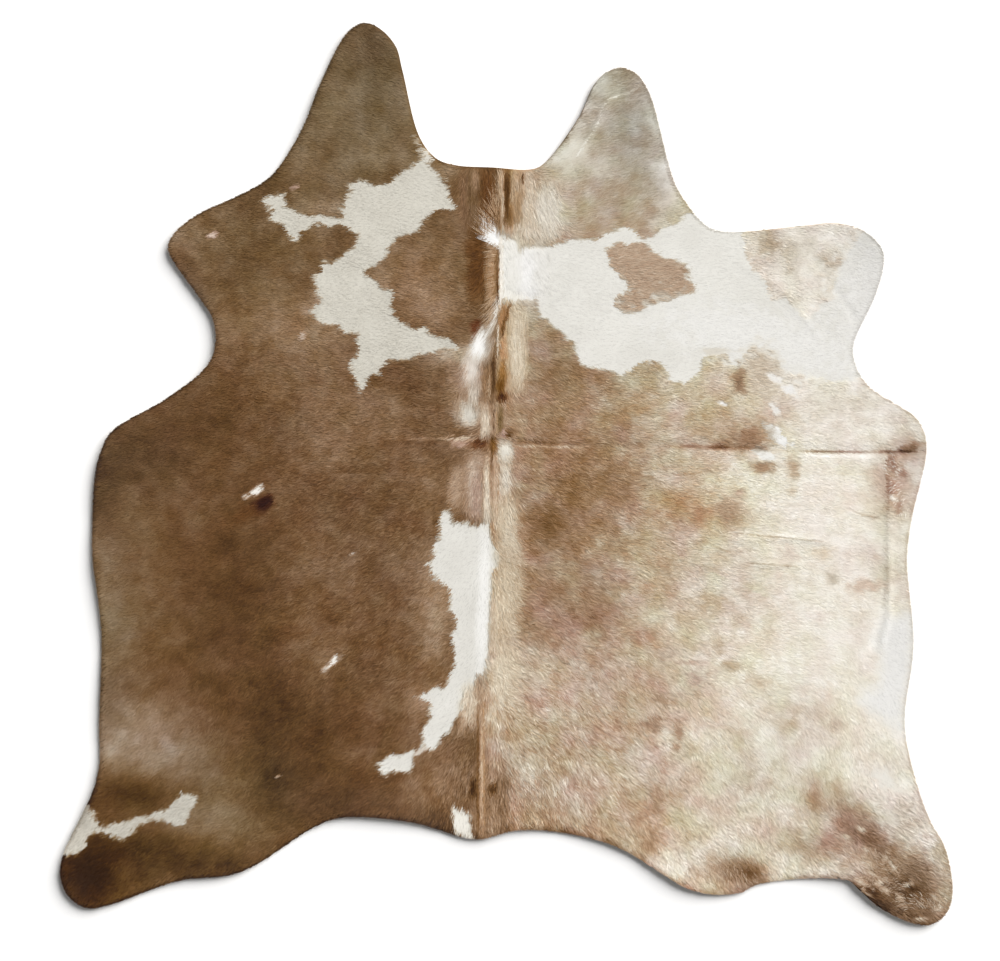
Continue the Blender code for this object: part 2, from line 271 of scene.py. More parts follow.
def between(values, x, y, low, step):
    """Mixes the four lattice values around each place by how near it is to each of them."""
    column = np.clip((x - low) / step, 0, values.shape[1] - 1.001)
    row = np.clip((y - low) / step, 0, values.shape[0] - 1.001)
    i, j = row.astype(int), column.astype(int)
    v, u = row - i, column - j
    return ((values[i, j] * (1 - u) + values[i, j + 1] * u) * (1 - v)
            + (values[i + 1, j] * (1 - u) + values[i + 1, j + 1] * u) * v)


def depth(x, y):
    """How far a place is inside the cut edge, negative outside it."""
    return between(depth_values, x, y, -DEPTH_HALF, DEPTH_STEP)


def under_height(x, y):
    """Height of the flesh side: nothing, but for the curled edges, which rise with the square of how
    far they are outside the flat part."""
    lift = np.zeros(x.shape)
    for _place, cx, cy, reach, rise in CURLS:
        lift = np.maximum(lift, rise * bell(x, y, cx, cy, reach))
    return lift * np.clip(1.0 - depth(x, y) / CURL_BAND, 0.0, 1.05) ** 2


CREASE_FADE = 0.02             # within this distance of the edge the ridges and creases run out


def skin_top(x, y):
    """Height of the skin's hair side: the flesh side, the skin, the spine's ridge as a bell across it,
    and each crease as a ridge or trough with a low shoulder of the other sign beside it."""
    points = np.column_stack([x, y])
    spine = np.array(SPINE)
    gap, along, _length = from_route(points, spine[:, :2])
    run = np.concatenate([[0.0], np.cumsum(np.linalg.norm(np.diff(spine[:, :2], axis=0), axis=1))])
    rise = np.interp(along, run, spine[:, 2])
    half_width = np.interp(along, run, spine[:, 3])
    height = rise * np.exp(-(gap / half_width) ** 2)
    for _name, crease_rise, crease_half, route in CREASES:
        gap, along, length = from_route(points, route)
        across = (gap / crease_half) ** 2
        ends = np.clip(np.minimum(along, length - along) / (3 * crease_half), 0.0, 1.0)
        height += crease_rise * ends * (1.0 - across) * np.exp(-across)
    fade = np.clip(depth(x, y) / CREASE_FADE, 0.0, 1.0)
    return under_height(x, y) + SKIN + height * fade


def new_mesh(name, points, triangles, uvs, coat):
    """A mesh from whole arrays: its points, its triangles, a UV pair for each point in each map, and
    the coat's four numbers at each point."""
    mesh = bpy.data.meshes.new(name)
    mesh.vertices.add(len(points))
    mesh.vertices.foreach_set("co", points.astype(np.float32).ravel())
    mesh.loops.add(triangles.size)
    mesh.loops.foreach_set("vertex_index", triangles.astype(np.int32).ravel())
    mesh.polygons.add(len(triangles))
    mesh.polygons.foreach_set("loop_start", np.arange(0, triangles.size, 3, dtype=np.int32))
    mesh.update(calc_edges=True)
    for map_name, pairs in uvs.items():
        layer = mesh.uv_layers.new(name=map_name)
        layer.data.foreach_set("uv", pairs[triangles.ravel()].astype(np.float32).ravel())
    attribute = mesh.attributes.new("coat", "FLOAT_COLOR", "POINT")
    attribute.data.foreach_set("color", coat.astype(np.float32).ravel())
    mesh.shade_smooth()
    return mesh


def hide_piece(name, mesh):
    """Puts a mesh into the scene as a piece of the hide."""
    piece = bpy.data.objects.new(name, mesh)
    bpy.context.scene.collection.objects.link(piece)
    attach(piece, "root")
    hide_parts("hide")
    return piece


def lattice_sheet(step):
    """The hide's plan on a square lattice of x and y: cells whose middle is inside the cut edge are
    kept, and the points along their border are moved to the nearest place on the edge."""
    columns = np.arange(-HIDE_WIDTH / 2 - step, HIDE_WIDTH / 2 + 2 * step, step)
    rows = np.arange(-HIDE_LENGTH / 2 - step, HIDE_LENGTH / 2 + 2 * step, step)
    x, y = np.meshgrid(columns, rows)
    middle = np.column_stack([(x[:-1, :-1] + step / 2).ravel(), (y[:-1, :-1] + step / 2).ravel()])
    kept = inside(middle, edge).reshape(x[:-1, :-1].shape)
    number = np.arange(x.size).reshape(x.shape)
    cells = np.stack([number[:-1, :-1], number[:-1, 1:], number[1:, 1:], number[1:, :-1]], axis=2)[kept]
    sides = np.concatenate([cells[:, [0, 1]], cells[:, [1, 2]], cells[:, [2, 3]], cells[:, [3, 0]]])
    key = np.sort(sides, axis=1) @ np.array([x.size, 1])
    _values, first, count = np.unique(key, return_index=True, return_counts=True)
    border = sides[first[count == 1]]
    points = np.column_stack([x.ravel(), y.ravel()])
    rim = np.unique(border)
    start, span = edge, np.roll(edge, -1, 0) - edge
    share = ((points[rim, None, :] - start) * span).sum(axis=2) / (span ** 2).sum(axis=1)
    place = start + np.clip(share, 0.0, 1.0)[:, :, None] * span
    nearest = np.linalg.norm(points[rim, None, :] - place, axis=2).argmin(axis=1)
    points[rim] = place[np.arange(len(rim)), nearest]
    used, cells_used = np.unique(cells, return_inverse=True)
    cells = cells_used.reshape(cells.shape)
    border = np.searchsorted(used, border)
    return points[used], cells, border


def halves(points, cells):
    """Cuts each cell along the diagonal that leaves the larger smallest triangle."""
    def area(a, b, c):
        p, q, r = points[cells[:, a]], points[cells[:, b]], points[cells[:, c]]
        return (q[:, 0] - p[:, 0]) * (r[:, 1] - p[:, 1]) - (q[:, 1] - p[:, 1]) * (r[:, 0] - p[:, 0])

    first = np.minimum(area(0, 1, 2), area(0, 2, 3)) >= np.minimum(area(0, 1, 3), area(1, 2, 3))
    return np.concatenate([cells[first][:, [0, 1, 2]], cells[first][:, [0, 2, 3]],
                           cells[~first][:, [0, 1, 3]], cells[~first][:, [1, 2, 3]]])


def flat_map(points):
    """The hide's plan as a UV map, so that a place on the hide has the same place on the map."""
    return points[:, :2] / (2 * DEPTH_HALF) + 0.5


# How light each part of the coat is (tone, from 0 black to 1 white) and how warm its brown is
# (warmth, 0 grey and 1 the common brown). The left half is brown; the right half fades from brown
# beside the spine to cream along the belly.
LEFT_TONE = 0.331
LEFT_WARMTH = 1.00
RIGHT_TONE_AT = (0.00, 0.15, 0.28, 0.42, 0.55, 0.70, 1.00)     # metres right of the spine
RIGHT_TONE = (0.625, 0.565, 0.605, 0.715, 0.835, 0.90, 0.885)
RIGHT_WARMTH = (0.98, 1.02, 1.01, 1.05, 0.98, 0.80, 0.74)

# Soft lighter and darker areas: place, x, y, half width, half height, turn, tone, warmth, strength
SHADES = (
    ("left neck flap", -0.33, 0.86, 0.16, 0.22, 0, 0.35, 0.84, 1.0),
    ("left neck flap tip", -0.33, 1.01, 0.07, 0.07, 0, 0.31, 0.86, 0.9),
    ("left neck flap spot", -0.30, 0.85, 0.025, 0.035, 0, 0.27, 1.01, 0.9),
    ("left neck flap right edge", -0.245, 0.860, 0.030, 0.100, 10, 0.43, 0.80, 0.6),
    ("left neck flap middle", -0.38, 0.83, 0.04, 0.05, 0, 0.42, 0.76, 0.6),
    ("left neck flap root", -0.29, 0.735, 0.08, 0.03, 0, 0.455, 0.74, 0.7),
    ("left neck flap edge", -0.46, 0.715, 0.065, 0.035, -35, 0.40, 0.88, 0.85),
    ("left shoulder", -0.60, 0.60, 0.14, 0.06, 20, 0.345, 0.90, 0.7),
    ("left shoulder top", -0.60, 0.645, 0.05, 0.02, 25, 0.28, 0.96, 0.6),
    ("left foreleg tip", -0.76, 0.55, 0.06, 0.05, 0, 0.45, 0.81, 0.8),
    ("left foreleg", -0.62, 0.49, 0.06, 0.10, -25, 0.30, 1.01, 0.7),
    ("left forearm", -0.64, 0.41, 0.05, 0.025, 0, 0.29, 1.01, 0.6),
    ("left ribs", -0.48, 0.33, 0.12, 0.11, 0, 0.475, 0.96, 0.85),
    ("left ribs middle", -0.46, 0.37, 0.05, 0.05, 0, 0.50, 0.91, 0.6),
    ("left withers", -0.20, 0.45, 0.10, 0.12, 0, 0.44, 1.08, 0.9),
    ("left brisket", -0.66, 0.12, 0.17, 0.09, 12, 0.27, 1.06, 0.9),
    ("left chest", -0.88, 0.02, 0.11, 0.09, 0, 0.225, 1.00, 0.85),
    ("left chest edge", -0.945, -0.06, 0.040, 0.16, 0, 0.17, 1.05, 0.85),
    ("left back", -0.33, 0.14, 0.15, 0.12, 0, 0.39, 1.03, 0.8),
    ("left back light", -0.42, 0.15, 0.05, 0.10, 0, 0.44, 0.99, 0.6),
    ("left saddle", -0.30, -0.06, 0.08, 0.09, 0, 0.32, 1.06, 0.8),
    ("left flank edge", -0.92, -0.28, 0.06, 0.20, 0, 0.385, 0.74, 0.8),
    ("left flank edge low", -0.93, -0.55, 0.05, 0.18, 0, 0.35, 0.72, 0.7),
    ("left belly", -0.65, -0.28, 0.12, 0.22, 0, 0.225, 1.12, 0.9),
    ("left loin", -0.38, -0.25, 0.10, 0.16, 0, 0.345, 1.00, 0.8),
    ("left loin light", -0.43, -0.43, 0.05, 0.05, 0, 0.49, 0.88, 0.8),
    ("left loin dark", -0.34, -0.45, 0.05, 0.04, 0, 0.29, 1.01, 0.8),
    ("beside the back patch", -0.165, -0.30, 0.045, 0.14, 0, 0.56, 0.88, 0.8),
    ("left thigh", -0.54, -0.60, 0.17, 0.20, 0, 0.205, 1.14, 0.9),
    ("left thigh darkest", -0.53, -0.73, 0.06, 0.07, 0, 0.19, 1.01, 0.8),
    ("left stifle", -0.82, -0.64, 0.12, 0.09, 0, 0.475, 0.74, 0.95),
    ("left stifle edge", -0.90, -0.63, 0.05, 0.04, 0, 0.54, 0.64, 0.8),
    ("left hock dark", -0.885, -0.748, 0.112, 0.046, 0, 0.168, 1.28, 1.0),
    ("left hock", -0.68, -0.80, 0.11, 0.055, 0, 0.45, 0.76, 0.8),
    ("left hind foot", -0.97, -0.93, 0.10, 0.10, 0, 0.050, 1.50, 1.0),
    ("left hind leg", -0.84, -0.885, 0.08, 0.05, 0, 0.185, 1.20, 0.9),
    ("left hind edge", -0.70, -0.915, 0.17, 0.04, 0, 0.185, 1.15, 0.95),
    ("left rump", -0.37, -0.77, 0.19, 0.05, 0, 0.210, 1.05, 0.9),
    ("rump", -0.17, -0.73, 0.07, 0.08, 0, 0.43, 1.01, 0.8),
    ("rump edge", -0.20, -0.81, 0.12, 0.025, 0, 0.22, 1.00, 0.85),
    ("tail root", -0.04, -0.78, 0.05, 0.05, 0, 0.40, 1.10, 0.8),
    ("right neck flap", 0.27, 0.80, 0.15, 0.20, 0, 0.68, 0.50, 1.0),
    ("right neck flap middle", 0.26, 0.82, 0.05, 0.09, 0, 0.575, 0.55, 0.8),
    ("right neck flap tip", 0.22, 0.90, 0.07, 0.05, 0, 0.74, 0.40, 0.8),
    ("right neck flap left", 0.14, 0.73, 0.06, 0.06, 0, 0.83, 0.38, 0.95),
    ("right neck flap root", 0.24, 0.65, 0.09, 0.05, 0, 0.655, 0.68, 0.9),
    ("right neck flap right", 0.375, 0.74, 0.035, 0.12, 0, 0.80, 0.40, 0.9),
    ("nape right", 0.11, 0.62, 0.05, 0.08, 0, 0.85, 0.70, 0.95),
    ("right foreleg", 0.68, 0.50, 0.10, 0.07, 0, 0.85, 0.66, 0.9),
    ("right foreleg edge", 0.61, 0.545, 0.035, 0.040, 0, 0.62, 0.98, 0.85),
    ("right knee", 0.75, 0.505, 0.03, 0.02, -20, 0.72, 0.90, 0.7),
    ("right withers", 0.12, 0.22, 0.05, 0.06, 0, 0.45, 1.05, 0.85),
    ("right back", 0.14, -0.02, 0.13, 0.17, 0, 0.50, 1.10, 0.85),
    ("right back dark", 0.10, -0.12, 0.045, 0.045, 0, 0.38, 1.15, 0.9),
    ("right back dark low", 0.26, -0.03, 0.08, 0.045, 0, 0.45, 1.15, 0.8),
    ("right loin", 0.16, -0.31, 0.10, 0.07, 0, 0.485, 1.05, 0.8),
    ("croup light", 0.10, -0.48, 0.12, 0.09, 0, 0.695, 1.00, 0.9),
    ("croup", 0.22, -0.58, 0.16, 0.10, 0, 0.715, 1.02, 0.8),
    ("right rump", 0.14, -0.71, 0.13, 0.09, 0, 0.735, 0.93, 0.9),
    ("right rump spot", 0.26, -0.84, 0.045, 0.03, 0, 0.56, 1.00, 0.7),
    ("right elbow", 0.47, 0.14, 0.15, 0.12, 0, 0.72, 1.12, 0.85),
    ("right elbow dark", 0.56, 0.085, 0.06, 0.020, 0, 0.63, 1.10, 0.8),
    ("right ribs dark", 0.42, -0.08, 0.12, 0.05, 0, 0.585, 1.38, 0.8),
    ("right ribs spot", 0.53, -0.09, 0.025, 0.03, 0, 0.55, 1.15, 0.85),
    ("right belly", 0.72, -0.05, 0.13, 0.10, 0, 0.935, 0.80, 0.8),
    ("right chest", 0.80, 0.15, 0.09, 0.07, 0, 0.87, 0.62, 0.9),
    ("right belly edge", 0.90, -0.03, 0.05, 0.10, 0, 0.66, 1.05, 0.8),
    ("right chest edge", 0.94, 0.055, 0.03, 0.03, 0, 0.60, 1.00, 0.8),
    ("right belly low", 0.88, -0.22, 0.04, 0.06, 0, 0.75, 0.90, 0.8),
    ("right thigh spot", 0.70, -0.57, 0.07, 0.05, 0, 0.74, 0.95, 0.8),
    ("right hock", 0.74, -0.765, 0.07, 0.045, -20, 0.60, 0.85, 0.8),
    ("right hock low", 0.735, -0.868, 0.120, 0.045, -10, 0.585, 0.92, 0.95),
    ("right hind leg", 0.868, -0.862, 0.085, 0.034, -50, 0.30, 0.98, 1.0),
    ("right hind foot", 0.935, -0.975, 0.090, 0.072, -38, 0.24, 1.02, 1.0),
    ("right hind foot, inner", 0.850, -0.978, 0.062, 0.036, -38, 0.21, 1.02, 0.95),
    ("hollow above the marking", -0.430, 0.622, 0.055, 0.020, 0, 0.55, 0.78, 0.8),
    ("nape edge, left", -0.150, 0.706, 0.030, 0.020, 0, 0.55, 0.80, 0.8),
    ("left neck", -0.285, 0.470, 0.055, 0.080, 0, 0.46, 0.95, 0.7),
    ("left neck flap left edge", -0.455, 0.860, 0.040, 0.110, -25, 0.28, 0.86, 0.7),
    ("left armpit", -0.725, 0.400, 0.035, 0.095, 20, 0.25, 0.85, 0.85),
    ("left stifle, low", -0.700, -0.710, 0.050, 0.050, 0, 0.42, 0.75, 0.7),
    ("nape right, top", 0.104, 0.695, 0.024, 0.020, 0, 0.66, 0.95, 0.8),
    ("right withers, pale", 0.345, 0.200, 0.040, 0.055, 0, 0.72, 0.90, 0.7),
    ("right flank, pale", 0.520, -0.330, 0.100, 0.080, 0, 0.86, 0.80, 0.5),
    ("croup, pale", 0.280, -0.445, 0.060, 0.050, 0, 0.79, 0.88, 0.7),
    ("right ribs, low", 0.475, -0.145, 0.050, 0.030, 0, 0.70, 1.10, 0.6),
    ("right hind leg, low", 0.965, -0.918, 0.034, 0.028, -40, 0.35, 0.95, 0.85),
    ("right stifle, pale", 0.590, -0.680, 0.120, 0.110, 0, 0.785, 0.84, 0.8),
    ("right thigh, low", 0.395, -0.920, 0.060, 0.045, 0, 0.87, 0.78, 0.85),
    ("right knee tan", 0.735, -0.775, 0.040, 0.022, -10, 0.66, 0.95, 0.8),
    ("right hind toe", 0.955, -1.030, 0.070, 0.036, -20, 0.38, 0.90, 0.9),
    ("right hind leg, outer", 0.930, -0.815, 0.055, 0.080, -20, 0.77, 0.76, 0.8),
    ("right hock streak", 0.795, -0.792, 0.060, 0.030, -45, 0.58, 0.90, 0.8),
    ("right withers, top", 0.070, 0.355, 0.038, 0.030, 0, 0.64, 0.90, 0.7),
    ("left of the fan", -0.185, -0.020, 0.030, 0.060, 0, 0.46, 0.95, 0.7),
    ("right rump, low", 0.170, -0.800, 0.040, 0.030, 0, 0.78, 0.88, 0.6),
    ("croup, beside the tail", 0.035, -0.620, 0.040, 0.050, 0, 0.74, 0.92, 0.7),
    ("left loin, pale", -0.480, -0.340, 0.050, 0.070, 0, 0.41, 0.95, 0.6),
    ("left ribs, low", -0.530, 0.200, 0.050, 0.050, 0, 0.42, 1.00, 0.6),
    ("right hock, inner", 0.812, -0.838, 0.050, 0.024, -30, 0.43, 0.95, 0.9),
    ("left of the patch, low", -0.20, -0.53, 0.040, 0.050, 0, 0.50, 0.95, 0.8),
    ("left withers, low", -0.17, 0.385, 0.050, 0.040, 0, 0.50, 0.95, 0.8),
    ("right flank light", 0.46, -0.32, 0.16, 0.12, 0, 0.83, 0.90, 0.6),
    ("left of the wisp", -0.105, 0.190, 0.035, 0.090, 0, 0.50, 0.95, 0.8),
    ("marking to wisp", -0.125, 0.280, 0.055, 0.026, 0, 0.64, 0.78, 0.9),
    ("right hind leg edge", 1.012, -0.895, 0.028, 0.070, 12, 0.73, 0.78, 0.9),
    ("right thigh edge", 0.532, -0.926, 0.060, 0.045, 0, 0.41, 1.08, 0.95),
    ("right thigh edge dark", 0.575, -0.935, 0.032, 0.022, 0, 0.30, 1.10, 0.85),
)

# Where the brown leans to olive (positive) or to pink (negative): place, x, y, reach, lean
LEANINGS = (
    ("left neck flap", -0.33, 0.86, 0.24, 0.9),
    ("left shoulder", -0.60, 0.52, 0.20, 0.4),
    ("left chest edge", -0.93, -0.05, 0.14, 0.3),
    ("left flank edge", -0.96, -0.35, 0.14, 0.7),
    ("left stifle", -0.92, -0.62, 0.12, 0.25),
    ("left hind leg", -0.80, -0.88, 0.18, 0.3),
    ("left thigh, low", -0.62, -0.76, 0.14, 0.5),
    ("withers", 0.05, 0.42, 0.16, 0.4),
    ("right croup", 0.36, -0.66, 0.16, -0.5),
    ("right neck flap", 0.28, 0.80, 0.20, 0.9),
    ("right shoulder", 0.45, 0.45, 0.30, 0.3),
    ("right chest edge", 0.92, -0.02, 0.07, -0.9),
    ("right belly edge", 0.86, -0.25, 0.08, -0.4),
    ("right loin", 0.15, -0.31, 0.12, -0.2),
    ("right stifle", 0.60, -0.66, 0.16, 0.5),
    ("right hock", 0.80, -0.81, 0.08, -0.4),
    ("right hock, inner", 0.72, -0.81, 0.06, -0.3),
    ("croup", 0.10, -0.47, 0.12, -0.4),
)

# Markings with a ragged border: name, tone, warmth, lean, softness of the border, border points
MARKINGS = (
    ("left shoulder", 0.765, 0.39, 1.2, 0.003, (
        (-0.1925, 0.7350), (-0.1600, 0.6925), (-0.1300, 0.6725), (-0.1325, 0.6450), (-0.1250, 0.6175),
        (-0.1625, 0.6150), (-0.1875, 0.5925), (-0.2075, 0.5675), (-0.2550, 0.5500), (-0.2800, 0.5250),
        (-0.2925, 0.4975), (-0.3350, 0.4700), (-0.3000, 0.4425), (-0.2675, 0.4250), (-0.2700, 0.3925),
        (-0.2550, 0.3550), (-0.2075, 0.3400), (-0.1625, 0.3225), (-0.1100, 0.2950), (-0.1700, 0.2800),
        (-0.2075, 0.2800), (-0.2225, 0.2650), (-0.2800, 0.2625), (-0.2975, 0.2350), (-0.3250, 0.2225),
        (-0.3425, 0.1925), (-0.3550, 0.2275), (-0.3625, 0.2600), (-0.3500, 0.2875), (-0.3550, 0.3250),
        (-0.3925, 0.3400), (-0.4300, 0.3475), (-0.4375, 0.3675), (-0.4625, 0.3800), (-0.4300, 0.3975),
        (-0.4500, 0.4300), (-0.4500, 0.4600), (-0.4250, 0.4875), (-0.3925, 0.5100), (-0.3550, 0.5350),
        (-0.3450, 0.5625), (-0.3925, 0.5800), (-0.4500, 0.5775), (-0.4825, 0.5600), (-0.4875, 0.5375),
        (-0.5125, 0.5500), (-0.5250, 0.5775), (-0.5600, 0.5925), (-0.5575, 0.6150), (-0.5725, 0.6350),
        (-0.5500, 0.6550), (-0.5200, 0.6550), (-0.5125, 0.6225), (-0.4825, 0.6075), (-0.4375, 0.6000),
        (-0.3800, 0.6000), (-0.3930, 0.6170), (-0.3625, 0.6600), (-0.3850, 0.6825), (-0.3500, 0.6875),
        (-0.3250, 0.6800), (-0.2750, 0.6750), (-0.2500, 0.7050), (-0.2225, 0.7175))),
    ("left neck flap sliver", 0.78, 0.40, 1.0, 0.005, (
        (-0.2150, 0.7875), (-0.2000, 0.7750), (-0.1825, 0.7525), (-0.1750, 0.7175), (-0.1925, 0.7250),
        (-0.2075, 0.7550))),
    ("back", 0.815, 0.26, 1.2, 0.003, (
        (-0.1500, -0.0900), (-0.1350, -0.0900), (-0.1275, -0.1175), (-0.1050, -0.1125), (-0.0825, -0.1200),
        (-0.0575, -0.1175), (-0.0450, -0.1200), (-0.0425, -0.1625), (-0.0300, -0.1650), (-0.0125, -0.1925),
        (-0.0225, -0.2250), (-0.0350, -0.2450), (-0.0400, -0.2975), (-0.0450, -0.3425), (-0.0404, -0.4195),
        (-0.0446, -0.4478), (-0.0504, -0.4739), (-0.0686, -0.4781), (-0.0747, -0.4842), (-0.0768, -0.5082),
        (-0.0929, -0.5284), (-0.1050, -0.5526), (-0.1211, -0.5808), (-0.1372, -0.6009), (-0.1575, -0.6251),
        (-0.1776, -0.6433), (-0.1937, -0.6370), (-0.2116, -0.6512), (-0.2259, -0.6655), (-0.2217, -0.6776),
        (-0.2277, -0.6937), (-0.2541, -0.6956), (-0.2942, -0.7016), (-0.3024, -0.6916), (-0.2942, -0.6816),
        (-0.3085, -0.6755), (-0.2781, -0.6655), (-0.2742, -0.6494), (-0.2520, -0.6573), (-0.2217, -0.6433),
        (-0.1937, -0.6323), (-0.1895, -0.6211), (-0.1976, -0.6069), (-0.1895, -0.5847), (-0.1855, -0.5647),
        (-0.1815, -0.5486), (-0.1834, -0.5364), (-0.2016, -0.5325), (-0.2198, -0.5164), (-0.1855, -0.5082),
        (-0.1493, -0.4900), (-0.1332, -0.4760), (-0.1251, -0.4438), (-0.1290, -0.4195), (-0.1300, -0.3750),
        (-0.1225, -0.3425), (-0.1325, -0.3125), (-0.1300, -0.2800), (-0.1475, -0.2675), (-0.1750, -0.2375),
        (-0.1825, -0.2125), (-0.1700, -0.1900), (-0.1800, -0.1725), (-0.1600, -0.1475), (-0.1575, -0.1200))),
    ("tail", 0.84, 0.40, 0.8, 0.003, (
        (-0.1300, -0.7725), (-0.0975, -0.7850), (-0.0825, -0.8000), (-0.0750, -0.8575), (-0.1175, -0.8450))),
    ("left hind leg", 0.70, 0.35, 1.3, 0.004, (
        (-0.9781, -0.7658), (-0.9616, -0.7887), (-0.9511, -0.8155), (-0.9252, -0.8176), (-0.8888, -0.8125),
        (-0.8682, -0.7996), (-0.8267, -0.7943), (-0.8008, -0.7866), (-0.7749, -0.7684), (-0.7593, -0.7513),
        (-0.7385, -0.7513), (-0.7254, -0.7649), (-0.7334, -0.7814), (-0.7541, -0.8125), (-0.7749, -0.8204),
        (-0.7954, -0.8073), (-0.8216, -0.8048), (-0.8577, -0.8204), (-0.8836, -0.8409), (-0.9044, -0.8514),
        (-0.9588, -0.8409), (-0.9744, -0.8498), (-0.9875, -0.8696), (-1.0054, -0.8904), (-1.0325, -0.8832),
        (-1.0465, -0.8680), (-1.0185, -0.7887), (-0.9952, -0.7490))),
    ("right shoulder", 0.858, 0.29, 1.2, 0.004, (
        (-0.0075, 0.5700), (0.0300, 0.5250), (0.0800, 0.5250), (0.1350, 0.5425), (0.2100, 0.5500),
        (0.2450, 0.5675), (0.2825, 0.5775), (0.3125, 0.5550), (0.3550, 0.5600), (0.3850, 0.5800),
        (0.4225, 0.6075), (0.4525, 0.6125), (0.4975, 0.5800), (0.5575, 0.5775), (0.5575, 0.5100),
        (0.5950, 0.4675), (0.6250, 0.4125), (0.6775, 0.3925), (0.7000, 0.3625), (0.7675, 0.4125),
        (0.7725, 0.4675), (0.8025, 0.5225), (0.8425, 0.5800), (0.9075, 0.5225), (0.8950, 0.4050),
        (0.8375, 0.3000), (0.8825, 0.2075), (0.8100, 0.2275), (0.7800, 0.2125), (0.6850, 0.2350),
        (0.6400, 0.2425), (0.6175, 0.2850), (0.5600, 0.2950), (0.5500, 0.2400), (0.5050, 0.2850),
        (0.4675, 0.2875), (0.4500, 0.2350), (0.4225, 0.2100), (0.3800, 0.2175), (0.3675, 0.2500),
        (0.3175, 0.2600), (0.2825, 0.2275), (0.2300, 0.2400), (0.1775, 0.2500), (0.1625, 0.2950),
        (0.1275, 0.3325), (0.0800, 0.3675), (0.0675, 0.4125), (0.0300, 0.4025), (-0.0150, 0.4000))),
    ("brown island", 0.655, 0.98, -0.2, 0.004, (
        (0.2375, 0.5250), (0.2675, 0.5375), (0.3275, 0.5375), (0.3550, 0.5075), (0.4175, 0.4875),
        (0.4225, 0.4600), (0.4375, 0.4300), (0.3800, 0.4050), (0.3350, 0.3925), (0.3050, 0.3775),
        (0.2600, 0.3800), (0.2600, 0.4100), (0.2900, 0.4325), (0.2675, 0.4600), (0.2450, 0.4875))),
    ("right elbow strip", 0.93, 0.15, 0.8, 0.004, (
        (0.5985, 0.1190), (0.6220, 0.1190), (0.6450, 0.0955), (0.6685, 0.0700), (0.6520, 0.0585),
        (0.6290, 0.0655), (0.6055, 0.1005))),
    ("right elbow spot", 0.905, 0.20, 1.0, 0.004, (
        (0.5710, 0.0615), (0.6060, 0.0575), (0.6295, 0.0455), (0.6330, 0.0340), (0.6100, 0.0285),
        (0.5830, 0.0380))),
    ("right flank", 0.885, 0.16, 0.8, 0.030, (
        (0.8800, -0.3325), (0.9525, -0.3225), (0.9525, -0.4100), (0.9350, -0.5275), (0.9300, -0.6100),
        (0.9025, -0.5925), (0.8525, -0.5650), (0.8175, -0.5275), (0.8300, -0.5050), (0.8675, -0.4900),
        (0.8725, -0.4225), (0.8575, -0.3875))),
)
BORDER_RAGGED = 0.006          # how far a marking's border strays from its points

